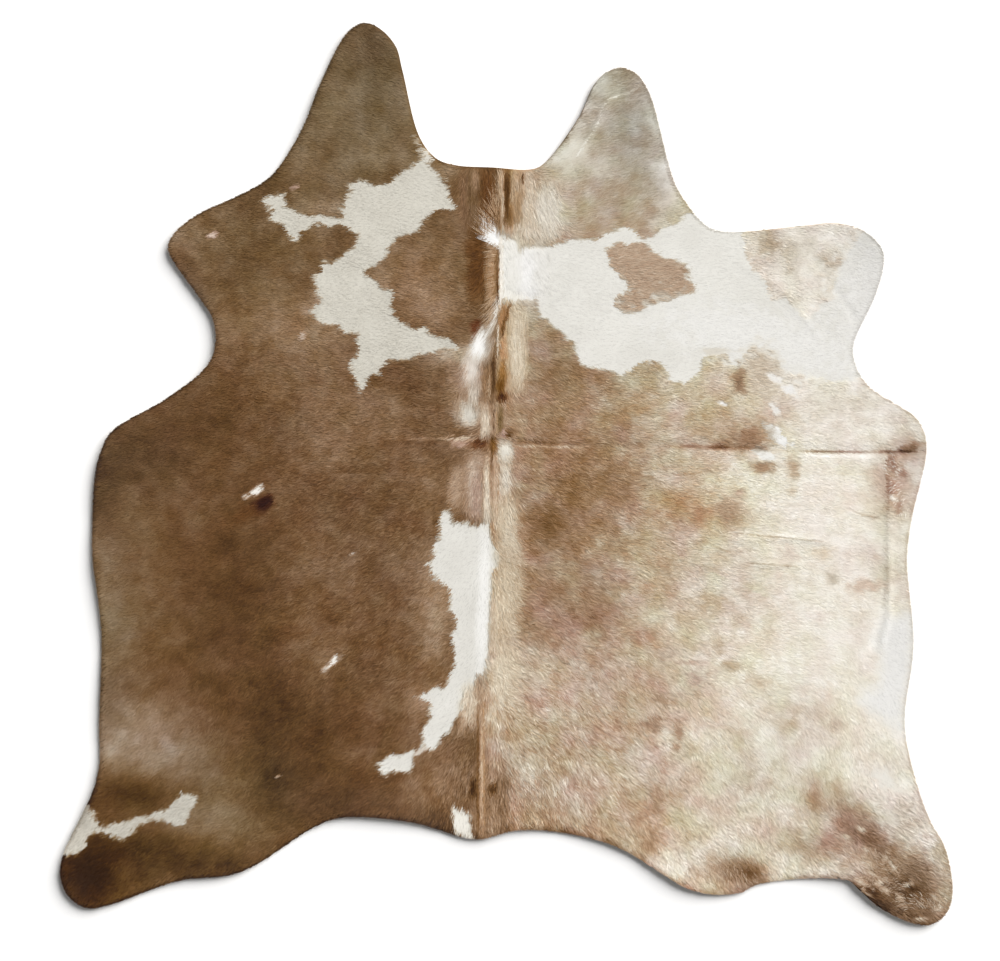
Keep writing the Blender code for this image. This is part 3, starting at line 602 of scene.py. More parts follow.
# Bands along the spine, where the long hair of the mane parts, and the tail: name, top x, y, bottom
# x, y, half width, tone, warmth, lean
BANDS = (
    ("nape, far left", -0.101, 0.705, -0.101, 0.574, 0.0130, 0.38, 1.00, -0.1),
    ("nape, tan band", -0.073, 0.709, -0.073, 0.656, 0.0084, 0.47, 1, 0),
    ("nape, dark left", -0.043, 0.709, -0.043, 0.579, 0.0187, 0.27, 1.30, -0.3),
    ("neck, left", -0.071, 0.574, -0.071, 0.400, 0.0230, 0.235, 1.30, -0.2),
    ("nape, cream line", -0.009, 0.712, -0.009, 0.575, 0.0050, 0.78, 1.0, 0),
    ("nape, dark band", 0.001, 0.712, 0.002, 0.579, 0.0090, 0.20, 1.3, 0),
    ("nape, brown band", 0.014, 0.630, 0.014, 0.579, 0.0070, 0.42, 1.35, 0),
    ("nape, tan", 0.027, 0.705, 0.024, 0.551, 0.0121, 0.55, 1.1, 0.3),
    ("nape, cream spot", 0.027, 0.684, 0.027, 0.660, 0.0061, 0.66, 0.9, 0.2),
    ("nape, cream", 0.055, 0.705, 0.055, 0.546, 0.0152, 0.76, 0.95, 0),
    ("nape, grey cream", 0.099, 0.670, 0.099, 0.546, 0.0260, 0.84, 0.68, 0.3),
    ("nape, foot", 0.008, 0.579, 0.008, 0.551, 0.0117, 0.54, 1.15, -0.3),
    ("nape, cream foot", 0.057, 0.583, 0.057, 0.544, 0.0397, 0.78, 0.85, 0),
    ("white tuft's root", -0.036, 0.580, -0.026, 0.528, 0.0180, 0.90, 0.25, 0.3),
    ("neck, fringe", -0.036, 0.523, -0.036, 0.406, 0.0152, 0.45, 1.25, 0),
    ("neck, dark edge", -0.021, 0.490, -0.021, 0.399, 0.0028, 0.27, 1.2, 0),
    ("neck, pale line", -0.013, 0.537, -0.013, 0.399, 0.0051, 0.9, 0.6, 0),
    ("white fall, grey", 0.011, 0.551, 0.011, 0.401, 0.0198, 0.905, 0.34, 0.8),
    ("white fall, bright", 0.050, 0.523, 0.050, 0.401, 0.0230, 0.955, 0.18, 0.1),
    ("white fall, right", 0.083, 0.532, 0.083, 0.406, 0.0210, 0.905, 0.30, 0.6),
    ("withers, brown", -0.004, 0.394, -0.011, 0.327, 0.0105, 0.50, 1.40, -0.2),
    ("withers, dark curve", 0.010, 0.397, -0.013, 0.327, 0.0035, 0.26, 1.3, 0),
    ("withers, peach", -0.006, 0.327, -0.006, 0.261, 0.0093, 0.60, 1.50, -0.3),
    ("withers, golden", -0.008, 0.261, -0.010, 0.219, 0.0098, 0.42, 1.55, 0),
    ("withers, dark", -0.013, 0.219, -0.013, 0.182, 0.0117, 0.29, 1.45, 0),
    ("withers, cream", 0.027, 0.394, 0.025, 0.195, 0.0220, 0.79, 0.98, 0.2),
    ("wisp, top", -0.020, 0.411, -0.036, 0.336, 0.0082, 0.86, 0.5, 0),
    ("wisp, white", -0.052, 0.345, -0.064, 0.268, 0.0260, 0.95, 0.22, 0.3),
    ("wisp, pink", -0.078, 0.276, -0.082, 0.212, 0.0240, 0.83, 0.58, -0.5),
    ("wisp, grey", -0.075, 0.215, -0.075, 0.166, 0.0175, 0.73, 0.65, 0),
    ("wisp, pale patch", -0.090, 0.168, -0.092, 0.112, 0.0270, 0.82, 0.52, 0.4),
    ("left of the wisp", -0.071, 0.357, -0.076, 0.327, 0.0117, 0.24, 1.3, -1),
    ("withers, brown locks", -0.046, 0.252, -0.046, 0.168, 0.0128, 0.47, 1.1, 0),
    ("withers, dark streak", -0.030, 0.271, -0.030, 0.194, 0.0044, 0.22, 1.1, 0),
    ("withers, peach locks", -0.049, 0.163, -0.049, 0.079, 0.0140, 0.79, 0.95, -0.1),
    ("withers, olive locks", -0.014, 0.161, -0.014, 0.093, 0.0084, 0.37, 1.05, 0.6),
    ("dimple", -0.010, 0.184, -0.010, 0.166, 0.0140, 0.18, 1.3, -0.6),
    ("dimple, pink", -0.007, 0.099, -0.007, 0.086, 0.0082, 0.66, 0.9, -1.2),
    ("dimple, low", 0.008, 0.096, 0.008, 0.082, 0.0058, 0.25, 1.2, 0),
    # Where the cross fold crosses the spine: a painted highlight above it and a painted shade below it, in
    # the hair's own pink and dark red, with a pink band between
    ("fold, painted highlight, left", -0.101, 0.084, -0.101, 0.078, 0.0350, 0.72, 1, -0.1),
    ("fold, pink left", -0.108, 0.076, -0.108, 0.064, 0.0210, 0.6, 0.85, -0.7),
    ("fold, painted shade, dark red", -0.063, 0.077, -0.063, 0.058, 0.0245, 0.2, 1.3, -0.7),
    ("knot", -0.029, 0.086, -0.029, 0.042, 0.0093, 0.27, 1.4, 0),
    ("fan, white", 0.001, 0.072, -0.003, 0.030, 0.0187, 0.85, 0.55, 0.5),
    ("fan, pale right", -0.003, 0.030, -0.003, -0.051, 0.0163, 0.81, 0.75, 0.1),
    ("fan, grey", -0.076, 0.049, -0.076, -0.103, 0.0220, 0.69, 0.80, -0.2),
    ("fan, purple grey", -0.071, 0.000, -0.071, -0.103, 0.0117, 0.60, 0.82, -0.6),
    ("fan, light brown", -0.115, 0.020, -0.120, -0.084, 0.0200, 0.58, 0.90, 0),
    ("fan, cream", -0.046, 0.042, -0.046, -0.121, 0.0090, 0.81, 1.0, -0.1),
    ("fan, peach", -0.026, 0.040, -0.026, -0.114, 0.0061, 0.68, 1.1, -0.3),
    ("golden streak", -0.034, -0.117, -0.034, -0.161, 0.0060, 0.39, 1.45, -0.3),
    ("spine, cream tan", 0.005, -0.054, 0.005, -0.201, 0.0300, 0.77, 0.95, 0.2),
    ("spine, tan", 0.007, -0.190, -0.008, -0.387, 0.0350, 0.76, 1.04, 0.2),
    ("spine, tan, low", 0.002, -0.387, -0.004, -0.560, 0.0400, 0.79, 1.02, 0.2),
    ("back patch, bright", -0.048, -0.122, -0.060, -0.478, 0.0150, 0.90, 0.20, 1.0),
    ("tail, light left", -0.080, -0.495, -0.090, -0.595, 0.0230, 0.74, 0.95, 0),
    ("tail, brown strip", -0.057, -0.632, -0.057, -0.849, 0.0187, 0.43, 1.05, 0),
    ("tail, dark line", -0.067, -0.560, -0.067, -0.840, 0.0030, 0.32, 1.2, 0),
    ("tail, gold line", -0.056, -0.527, -0.058, -0.840, 0.0052, 0.66, 1.2, -0.2),
    ("tail, brown right", -0.014, -0.686, -0.010, -0.845, 0.0230, 0.42, 1.0, 0),
    ("tail, dark spot", -0.033, -0.722, -0.033, -0.750, 0.0110, 0.20, 1.2, 0),
    ("tail, dark spot, left", -0.078, -0.712, -0.078, -0.752, 0.0085, 0.18, 1.2, 0),
)

# Small flecks and spots: name, x, y, half length, half width, turn, tone, warmth, lean, softness
FLECKS = (
    ("right shoulder, white", 0.600, 0.315, 0.240, 0.060, -12, 0.885, 0.20, 1.0, 0.6),
    ("right foreleg, white", 0.860, 0.400, 0.090, 0.130, 0, 0.885, 0.20, 0.6, 0.8),
    ("elbow block", 0.594, 0.246, 0.036, 0.048, 0, 0.76, 0.90, 0.0, 0.7),
    ("patch thread", -0.204, -0.650, 0.024, 0.0040, 28, 0.74, 0.55, 0.0, 0.2),
    ("chest fleck", -0.588, -0.043, 0.022, 0.0095, 28, 0.87, 0.4, 0.0, 0.35),
    ("chest scar", -0.577, -0.073, 0.030, 0.014, 25, 0.00, 1.35, -1.6, 0.8),
    ("chest scar's shade", -0.606, -0.090, 0.034, 0.018, 30, 0.26, 1.2, -0.2, 1.0),
    ("loin fleck", -0.407, -0.441, 0.027, 0.0085, 45, 0.87, 0.4, 0.0, 0.35),
    ("rib fleck", -0.360, -0.187, 0.007, 0.003, 10, 0.75, 0.5, 0.0, 0.5),
    ("foreleg fleck", -0.688, 0.554, 0.013, 0.0065, 35, 0.72, 0.85, -1.0, 0.5),
    ("shoulder fleck", -0.497, 0.667, 0.010, 0.0055, 20, 0.60, 0.8, -0.8, 0.6),
    ("withers fleck", -0.478, 0.323, 0.009, 0.005, 80, 0.70, 0.8, -0.4, 0.5),
    ("rump fleck", -0.535, -0.707, 0.005, 0.003, 0, 0.60, 0.8, 0.0, 0.5),
    ("elbow fleck", 0.508, 0.162, 0.012, 0.005, -20, 0.92, 0.2, 0.0, 0.4),
    ("elbow white, upper", 0.631, 0.222, 0.018, 0.008, -30, 0.90, 0.3, 0.0, 0.5),
    ("elbow white, middle", 0.664, 0.194, 0.019, 0.012, -30, 0.91, 0.2, 0.0, 0.4),
    ("elbow white, lower", 0.629, 0.152, 0.015, 0.010, -45, 0.89, 0.3, 0.0, 0.5),
    ("elbow smudge", 0.546, 0.215, 0.013, 0.030, 0, 0.50, 1.0, 0.0, 0.7),
    ("elbow brown", 0.572, 0.088, 0.037, 0.024, 0, 0.52, 1.1, -0.2, 1.2),
    ("faint grey streaks", 0.485, 0.287, 0.030, 0.007, 0, 0.80, 0.5, 0.6, 0.8),
    ("rib spot, left", 0.601, 0.016, 0.022, 0.012, -10, 0.56, 1.05, 0.0, 1.0),
    ("rib spot, right", 0.671, 0.014, 0.013, 0.023, 0, 0.69, 1.05, 0.0, 0.9),
    ("rib spot, low", 0.668, -0.040, 0.012, 0.010, 0, 0.81, 1.0, 0.0, 0.9),
    ("rib spot, big", 0.515, -0.092, 0.022, 0.028, 0, 0.63, 1.05, 0.0, 0.7),
    ("rib pink", 0.545, -0.043, 0.012, 0.010, 0, 0.74, 1.1, -0.6, 1.0),
    ("belly pucker", 0.762, -0.243, 0.013, 0.011, 30, 0.74, 0.7, 0.4, 1.0),
    ("belly pink", 0.837, -0.262, 0.036, 0.015, 0, 0.78, 1.0, -0.8, 0.7),
    ("belly pink, upper", 0.662, -0.187, 0.022, 0.020, 0, 0.84, 0.9, -0.7, 0.9),
    ("belly tan", 0.742, -0.184, 0.020, 0.014, 0, 0.82, 1.1, -0.2, 0.9),
    ("loin spot 1", 0.365, -0.201, 0.030, 0.034, 0, 0.66, 1.1, 0.0, 1.0),
    ("loin spot 2", 0.477, -0.299, 0.032, 0.022, -20, 0.70, 1.1, 0.2, 1.0),
    ("loin spot 3", 0.407, -0.336, 0.019, 0.015, -20, 0.73, 1.1, 0.2, 0.9),
    ("loin spot 4", 0.500, -0.399, 0.012, 0.018, 0, 0.73, 1.0, 0.0, 0.9),
    ("loin spot 5", 0.388, -0.420, 0.022, 0.013, 0, 0.73, 0.9, -0.3, 0.9),
    ("flank pink line", 0.433, -0.441, 0.027, 0.005, 0, 0.73, 1.0, -0.9, 0.8),
    ("flank spot", 0.524, -0.450, 0.019, 0.012, 0, 0.69, 1.0, 0.4, 0.8),
    ("flank pink spot", 0.442, -0.481, 0.019, 0.017, 0, 0.71, 0.9, -0.8, 0.8),
    ("thigh spot 1", 0.367, -0.527, 0.022, 0.016, 0, 0.61, 1.0, 0.0, 0.8),
    ("thigh spot 2", 0.342, -0.583, 0.024, 0.016, 0, 0.56, 1.0, -0.2, 0.8),
    ("thigh spot 3", 0.402, -0.602, 0.011, 0.019, 0, 0.62, 1.0, -0.2, 0.8),
    ("thigh spot 4", 0.400, -0.640, 0.010, 0.010, 0, 0.62, 1.0, -0.2, 0.8),
    ("thigh spot 5", 0.445, -0.515, 0.010, 0.008, 0, 0.66, 1.0, 0.0, 0.9),
    ("thigh streak", 0.351, -0.772, 0.013, 0.032, 0, 0.60, 1.1, 0.0, 0.9),
    ("thigh streak, low", 0.330, -0.856, 0.022, 0.030, 0, 0.56, 1.1, 0.0, 0.9),
    ("stifle tan", 0.595, -0.490, 0.026, 0.014, 0, 0.77, 1.1, 0.0, 1.0),
    ("stifle spot", 0.767, -0.586, 0.011, 0.012, 0, 0.74, 0.9, -0.4, 1.0),
    ("hock tuft", 0.886, -0.714, 0.034, 0.017, -35, 0.87, 0.45, 0.4, 0.9),
    ("belly edge, dark 1", 0.903, 0.024, 0.010, 0.020, 20, 0.52, 0.95, -0.8, 0.8),
    ("belly edge, dark 2", 0.896, -0.036, 0.009, 0.018, -15, 0.55, 0.95, -0.8, 0.9),
    ("belly edge, dark 3", 0.926, 0.000, 0.009, 0.016, 40, 0.56, 0.95, -0.8, 0.9),
    ("belly edge, dark 4", 0.915, -0.078, 0.008, 0.015, 0, 0.60, 0.95, -0.6, 0.9),
    ("belly edge, light 1", 0.914, 0.008, 0.008, 0.004, 50, 0.88, 0.60, -0.3, 0.8),
    ("belly edge, light 2", 0.905, -0.058, 0.010, 0.004, -40, 0.88, 0.60, -0.3, 0.8),
    ("belly edge, light 3", 0.938, 0.020, 0.009, 0.004, 60, 0.86, 0.60, -0.3, 0.8),
    ("chest dark spot", 0.945, 0.062, 0.020, 0.007, 15, 0.44, 1.0, -0.2, 0.8),
    ("island speck", 0.418, 0.473, 0.008, 0.006, 0, 0.55, 1.0, 0.0, 0.5),
)

# The lighter curls on the right hind foot: x, y, turn. Three lengths, two widths and four tones take
# turns along the table
FOOT_CURLS = (
    (0.842, -0.877, -20), (0.884, -0.892, 60), (0.901, -0.914, -60), (0.850, -0.931, -30),
    (0.874, -0.953, 20), (0.842, -0.978, -35), (0.886, -0.973, -40), (0.918, -0.987, -50),
    (0.936, -0.959, 30), (0.997, -0.987, -70), (1.009, -1.011, 40), (0.965, -1.038, 10),
    (0.915, -1.042, -20), (0.872, -1.017, -35), (0.828, -0.952, -30), (0.793, -0.848, -15),
    (0.828, -0.830, -30),
)
CURL_LENGTHS = (0.010, 0.012, 0.013)
CURL_WIDTHS = (0.0045, 0.0038)
CURL_TONES = (0.78, 0.68, 0.75, 0.72)
FLECKS += tuple(
    ("foot curl", x, y, CURL_LENGTHS[n % 3], CURL_WIDTHS[n % 2], turn, CURL_TONES[n % 4], 0.85, 0.1, 0.9)
    for n, (x, y, turn) in enumerate(FOOT_CURLS))

# Lines of painted shade and painted highlight along the folds, creases and curled edges: dark where a fold,
# crease or edge would lie in shade, pale where its lip or ridge would catch the light. Name, change of tone,
# half width, route
SHADE_AND_HIGHLIGHT_LINES = (
    # Painted shade along the curled lower and left edges
    ("rump edge", -0.09, 0.011, ((-0.330, -0.806), (-0.130, -0.838), (-0.070, -0.852), (0.030, -0.824))),
    ("right rump edge", -0.13, 0.011, ((0.020, -0.824), (0.148, -0.838), (0.265, -0.872), (0.358, -0.932))),
    ("right thigh edge", -0.12, 0.011, ((0.350, -0.928), (0.428, -0.970), (0.520, -0.974), (0.615, -0.950))),
    ("right hock edge", -0.14, 0.013, ((0.615, -0.950), (0.778, -0.940), (0.848, -0.996), (0.930, -1.032))),
    ("left hind leg edge", -0.07, 0.012, ((-0.955, -0.690), (-0.985, -0.790), (-1.035, -0.870))),
    # Painted shade in the folds and creases and along the neck flap's edge, painted highlight on their lips
    # and ridges
    ("cross fold, spine", -0.14, 0.0040, ((0.012, 0.076), (0.125, 0.073))),
    ("cross fold, spine, pale", 0.20, 0.0028, ((0.016, 0.065), (0.125, 0.063), (0.180, 0.062))),
    ("cross fold, back", -0.04, 0.0030, ((0.125, 0.073), (0.300, 0.066), (0.430, 0.064))),
    ("cross fold, ribs", -0.26, 0.0048, ((0.405, 0.065), (0.500, 0.0615), (0.620, 0.060))),
    ("cross fold, ribs, shade", -0.07, 0.0140, ((0.480, 0.072), (0.585, 0.070))),
    ("cross fold, elbow", -0.10, 0.0035, ((0.585, 0.058), (0.680, 0.053))),
    ("cross fold, chest", -0.33, 0.0032, ((0.680, 0.053), (0.800, 0.0505), (0.880, 0.051), (0.965, 0.052))),
    ("cross fold, chest, pale", 0.06, 0.0050, ((0.680, 0.043), (0.860, 0.040))),
    ("cross fold, left", 0.10, 0.0022, ((-0.290, 0.082), (-0.118, 0.082))),
    ("cross fold, left, dark", -0.04, 0.0050, ((-0.290, 0.073), (-0.118, 0.071))),
    ("flank crease", -0.16, 0.0016, ((0.534, -0.138), (0.682, -0.1525), (0.748, -0.159))),
    ("flank crease, pale", 0.05, 0.0025, ((0.534, -0.132), (0.682, -0.1465), (0.748, -0.153))),
    ("lower flank crease", -0.14, 0.0016, ((0.552, -0.206), (0.686, -0.217))),
    ("rib crease", -0.08, 0.0020, ((0.383, -0.005), (0.499, 0.010))),
    ("loin crease", -0.09, 0.0020, ((0.468, -0.163), (0.535, -0.188))),
    ("belly crease", -0.12, 0.0024, ((0.797, -0.082), (0.840, -0.098), (0.888, -0.107))),
    ("belly fold", -0.20, 0.0016, ((0.889, 0.048), (0.890, -0.060), (0.890, -0.150))),
    ("belly fold, low", -0.09, 0.0026, ((0.890, -0.150), (0.890, -0.250), (0.877, -0.322))),
    ("neck crease, long", 0.15, 0.0022, (
        (0.163, 0.737), (0.181, 0.766), (0.202, 0.795), (0.217, 0.824), (0.223, 0.853), (0.243, 0.876),
        (0.281, 0.888), (0.318, 0.905))),
    ("neck crease, across", 0.06, 0.0020, ((0.180, 0.856), (0.219, 0.855), (0.262, 0.846))),
    ("neck crease, under it", -0.05, 0.0022, ((0.184, 0.850), (0.214, 0.849))),
    ("neck crease, high", 0.08, 0.0020, ((0.246, 0.898), (0.272, 0.912), (0.294, 0.921))),
    ("neck crease, tip", 0.06, 0.0018, ((0.240, 0.935), (0.284, 0.934))),
    ("neck crease, low", 0.06, 0.0020, ((0.258, 0.872), (0.300, 0.873), (0.330, 0.884))),
    ("neck flap edge", -0.20, 0.0030, ((0.130, 0.770), (0.160, 0.832), (0.185, 0.880))),
)


def cloud(x, y, size, seed, levels=3):
    """Cloudy unevenness between about -1 and 1: random numbers on a square lattice, mixed between the
    lattice points with soft steps. Each next level is turned, twice as fine and half as strong."""
    total = np.zeros(x.shape)
    weight = 1.0
    for level in range(levels):
        numbers = np.random.default_rng(seed + level).uniform(-1.0, 1.0, (400, 400))
        turn = seed + 1.1 * level
        u = (x * math.cos(turn) - y * math.sin(turn)) / size % 390
        v = (x * math.sin(turn) + y * math.cos(turn)) / size % 390
        i, j = u.astype(int), v.astype(int)
        f, g = u - i, v - j
        f, g = f * f * (3 - 2 * f), g * g * (3 - 2 * g)
        total += weight * ((numbers[i, j] * (1 - f) + numbers[i + 1, j] * f) * (1 - g)
                           + (numbers[i, j + 1] * (1 - f) + numbers[i + 1, j + 1] * f) * g)
        size, weight = size / 2, weight / 2
    return total


def soft_step(value):
    """0 below -1, 1 above 1, and a smooth S between."""
    t = np.clip(value * 0.5 + 0.5, 0.0, 1.0)
    return t * t * (3 - 2 * t)


def in_oval(x, y, cx, cy, half_x, half_y, turn):
    """Distance from an oval's middle, counted so that the oval's border is at 1."""
    c, s = math.cos(math.radians(turn)), math.sin(math.radians(turn))
    return np.hypot(((x - cx) * c + (y - cy) * s) / half_x, ((y - cy) * c - (x - cx) * s) / half_y)


def paint(coat, where, cover, new):
    """Moves the coat's tone, warmth and lean towards new ones at some places, by the cover's share."""
    for values, value in zip(coat, new):
        values[where] += (value - values[where]) * cover


def around(x, y, points, reach):
    """Which places lie in the upright box around some points, widened by the reach on each side."""
    low, high = points.min(axis=0) - reach, points.max(axis=0) + reach
    return np.flatnonzero((x > low[0]) & (x < high[0]) & (y > low[1]) & (y < high[1]))


SPINE_BLEND = 0.012            # half the width over which the two halves' tones run together
MOTTLE_AT = (0.00, 0.20, 0.45, 0.58, 0.84, 0.93)       # tone of the coat
MOTTLE = (0.020, 0.045, 0.065, 0.095, 0.075, 0.030)    # how strongly it is mottled
MOTTLE_CLOUDS = ((0.60, 0.055, 11, 3), (0.55, 0.022, 15, 2), (0.25, 0.16, 21, 3))  # share, size, seed, levels
MARKING_REACH = 0.03           # past this distance from its border a marking changes nothing
ENDS_FADE = 0.02               # how far a line fades in at its ends
RIM_PAINTED_SHADE = 0.11              # a painted shade along the cut edge: the coat is made darker there
RIM_WIDTH = 0.0035


def coat_at(x, y):
    """Tone, warmth and lean of the coat at each place: the two halves' own tones, then each shade
    painted over them through a bell, a cloudy mottle whose dark parts are warmer, then the markings
    inside their ragged borders, the bands along the spine, which fade at their sides and ends, the
    flecks inside soft ovals, the lines of painted shade and painted highlight along folds, creases and
    curled edges, and last a painted shade along the cut edge."""
    spine = np.array(SPINE)[::-1]
    right = x - np.interp(y, spine[:, 1], spine[:, 0])
    side = soft_step(right / SPINE_BLEND)
    tone = LEFT_TONE + (np.interp(right, RIGHT_TONE_AT, RIGHT_TONE) - LEFT_TONE) * side
    warmth = LEFT_WARMTH + (np.interp(right, RIGHT_TONE_AT, RIGHT_WARMTH) - LEFT_WARMTH) * side
    lean = np.zeros(x.shape)
    coat = (tone, warmth, lean)
    for _place, cx, cy, half_x, half_y, turn, shade_tone, shade_warmth, strength in SHADES:
        cover = strength * np.exp(-in_oval(x, y, cx, cy, half_x, half_y, turn) ** 2)
        paint(coat, slice(None), cover, (shade_tone, shade_warmth))
    for _place, cx, cy, reach, amount in LEANINGS:
        lean += amount * bell(x, y, cx, cy, reach)
    mottle = sum(share * cloud(x, y, size, seed, levels) for share, size, seed, levels in MOTTLE_CLOUDS)
    mottle *= np.interp(tone, MOTTLE_AT, MOTTLE)
    tone += mottle
    warmth += np.interp(tone, (0.45, 0.65), (0.03, 0.09)) * cloud(x, y, 0.10, 31) - 1.5 * mottle
    lean += np.interp(tone, (0.45, 0.60, 0.80), (0.12, 0.55, 0.95)) * (cloud(x, y, 0.05, 35) + 0.1)

    stray = BORDER_RAGGED * (cloud(x, y, 0.022, 41) + 0.7 * cloud(x, y, 0.006, 45, 2))
    for _name, mark_tone, mark_warmth, mark_lean, softness, border in MARKINGS:
        border = np.array(border)
        near = around(x, y, border, MARKING_REACH)
        points = np.column_stack([x[near], y[near]])
        gap = from_route(points, np.vstack([border, border[:1]]))[0]
        gap[~inside(points, border)] *= -1.0
        cover = soft_step((gap + stray[near]) / softness)
        uneven = 0.014 * cloud(x[near], y[near], 0.05, 51)
        paint(coat, near, cover, (mark_tone + uneven, mark_warmth, mark_lean))
    for _name, top_x, top_y, end_x, end_y, half_width, band_tone, band_warmth, band_lean in BANDS:
        middle_y, half_y = (top_y + end_y) / 2, (top_y - end_y) / 2
        near = np.flatnonzero((abs(y - middle_y) < 1.7 * half_y + 0.004)
                              & (x > min(top_x, end_x) - 2 * half_width)
                              & (x < max(top_x, end_x) + 2 * half_width))
        down = (top_y - y[near]) / (top_y - end_y)
        across = (x[near] - top_x - (end_x - top_x) * down) / half_width
        across += 0.25 * cloud(x[near], y[near], 0.014, 53, 2)
        downward = (y[near] - middle_y + 0.006 * cloud(x[near], y[near], 0.005, 54, 2)) / (half_y + 0.002)
        cover = np.exp(-abs(across) ** 3 - downward ** 4)
        paint(coat, near, cover, (band_tone, band_warmth, band_lean))
    for _name, cx, cy, half_long, half_wide, turn, fleck_tone, fleck_warmth, fleck_lean, softness in FLECKS:
        reach = (half_long + half_wide) * (1 + softness)
        near = np.flatnonzero((abs(x - cx) < reach) & (abs(y - cy) < reach))
        oval = in_oval(x[near], y[near], cx, cy, half_long, half_wide, turn)
        cover = soft_step((1.0 - oval + 0.45 * cloud(x[near], y[near], 0.012, 55, 3)) / softness)
        paint(coat, near, cover, (fleck_tone, fleck_warmth, fleck_lean))
    # Painted shade and painted highlight along folds, creases and curled edges
    for _name, change, half_width, route in SHADE_AND_HIGHLIGHT_LINES:
        route = np.array(route)
        near = around(x, y, route, 3 * half_width)
        gap, along, length = from_route(np.column_stack([x[near], y[near]]), route)
        ends = np.clip(np.minimum(along, length - along) / ENDS_FADE, 0.0, 1.0)
        uneven = 1.0 + 0.5 * cloud(x[near], y[near], 0.03, 57, 2)
        tone[near] += change * ends * uneven * np.exp(-(gap / half_width) ** 2)
    # Last, a painted shade: the coat within a few millimetres of the cut edge is made darker
    tone -= RIM_PAINTED_SHADE * np.exp(-(depth(x, y) / RIM_WIDTH) ** 2)
    return tone, warmth, lean


# The colours that cow hair runs through from dark to light: tone, red, green, blue on the screen
HAIR_COLOURS = (
    (0.08, 36, 20, 10), (0.15, 55, 34, 18), (0.24, 84, 58, 33), (0.30, 101, 71, 43),
    (0.38, 123, 93, 64), (0.46, 144, 114, 85), (0.59, 175, 146, 119), (0.66, 190, 166, 140),
    (0.77, 212, 196, 173), (0.89, 237, 228, 211), (1.00, 255, 251, 243),
)
LEAN_TURN = 0.024              # how far a full lean to olive turns the colour on the wheel


def light_of(screen):
    """A screen colour's share of light: the screen's curve taken off."""
    share = screen / 255
    return share / 12.92 if share <= 0.04045 else ((share + 0.055) / 1.055) ** 2.4


def hair_material(name, brightness, roughness, strand_scale):
    """Cow hair, coloured by the coat's tone, warmth and lean. Fine lines along the strands part them
    into single hairs, a little lighter and darker."""
    material = bpy.data.materials.new(name)
    material.use_nodes = True
    nodes, links = material.node_tree.nodes, material.node_tree.links
    shader = nodes["Principled BSDF"]
    shader.inputs["Roughness"].default_value = roughness
    shader.inputs["Specular IOR Level"].default_value = 0.16

    coat = nodes.new("ShaderNodeAttribute")
    coat.attribute_name = "coat"
    parts = nodes.new("ShaderNodeSeparateColor")
    links.new(coat.outputs["Color"], parts.inputs["Color"])

    uv = nodes.new("ShaderNodeUVMap")
    uv.uv_map = "strand"
    stretch = nodes.new("ShaderNodeVectorMath")
    stretch.operation = "MULTIPLY"
    stretch.inputs[1].default_value = strand_scale
    links.new(uv.outputs["UV"], stretch.inputs[0])
    lines = nodes.new("ShaderNodeTexNoise")
    lines.inputs["Scale"].default_value = 1.0
    lines.inputs["Detail"].default_value = 2.0
    links.new(stretch.outputs["Vector"], lines.inputs["Vector"])

    fine = nodes.new("ShaderNodeMath")
    fine.operation = "MULTIPLY_ADD"
    fine.inputs[1].default_value = 0.08
    fine.inputs[2].default_value = -0.04
    links.new(lines.outputs["Fac"], fine.inputs[0])
    tone = nodes.new("ShaderNodeMath")
    tone.operation = "MULTIPLY_ADD"
    links.new(fine.outputs["Value"], tone.inputs[0])
    links.new(coat.outputs["Alpha"], tone.inputs[1])
    links.new(parts.outputs["Red"], tone.inputs[2])

    brown = nodes.new("ShaderNodeValToRGB")
    grey = nodes.new("ShaderNodeValToRGB")
    for ramp, warm in ((brown.color_ramp, True), (grey.color_ramp, False)):
        while len(ramp.elements) < len(HAIR_COLOURS):
            ramp.elements.new(0.5)
        for element, (position, red, green, blue) in zip(ramp.elements, HAIR_COLOURS):
            luma = 0.2126 * red + 0.7152 * green + 0.0722 * blue
            screen = (red, green, blue) if warm else (luma, luma, luma)
            element.position = position
            element.color = [min(1.0, brightness * light_of(part)) for part in screen] + [1.0]
    links.new(tone.outputs["Value"], brown.inputs["Fac"])
    links.new(tone.outputs["Value"], grey.inputs["Fac"])
    mix = nodes.new("ShaderNodeMix")
    mix.data_type = "RGBA"
    mix.clamp_factor = False
    mix.clamp_result = True
    links.new(parts.outputs["Green"], mix.inputs["Factor"])
    links.new(grey.outputs["Color"], mix.inputs["A"])
    links.new(brown.outputs["Color"], mix.inputs["B"])

    turn = nodes.new("ShaderNodeMath")
    turn.operation = "MULTIPLY_ADD"
    turn.inputs[1].default_value = 4 * LEAN_TURN
    turn.inputs[2].default_value = 0.5 - 2 * LEAN_TURN
    links.new(parts.outputs["Blue"], turn.inputs[0])
    wheel = nodes.new("ShaderNodeHueSaturation")
    links.new(turn.outputs["Value"], wheel.inputs["Hue"])
    links.new(mix.outputs["Result"], wheel.inputs["Color"])
    links.new(wheel.outputs["Color"], shader.inputs["Base Color"])

    bump = nodes.new("ShaderNodeBump")
    bump.inputs["Strength"].default_value = 0.10
    bump.inputs["Distance"].default_value = 0.0003
    links.new(lines.outputs["Fac"], bump.inputs["Height"])
    links.new(bump.outputs["Normal"], shader.inputs["Normal"])
    return material


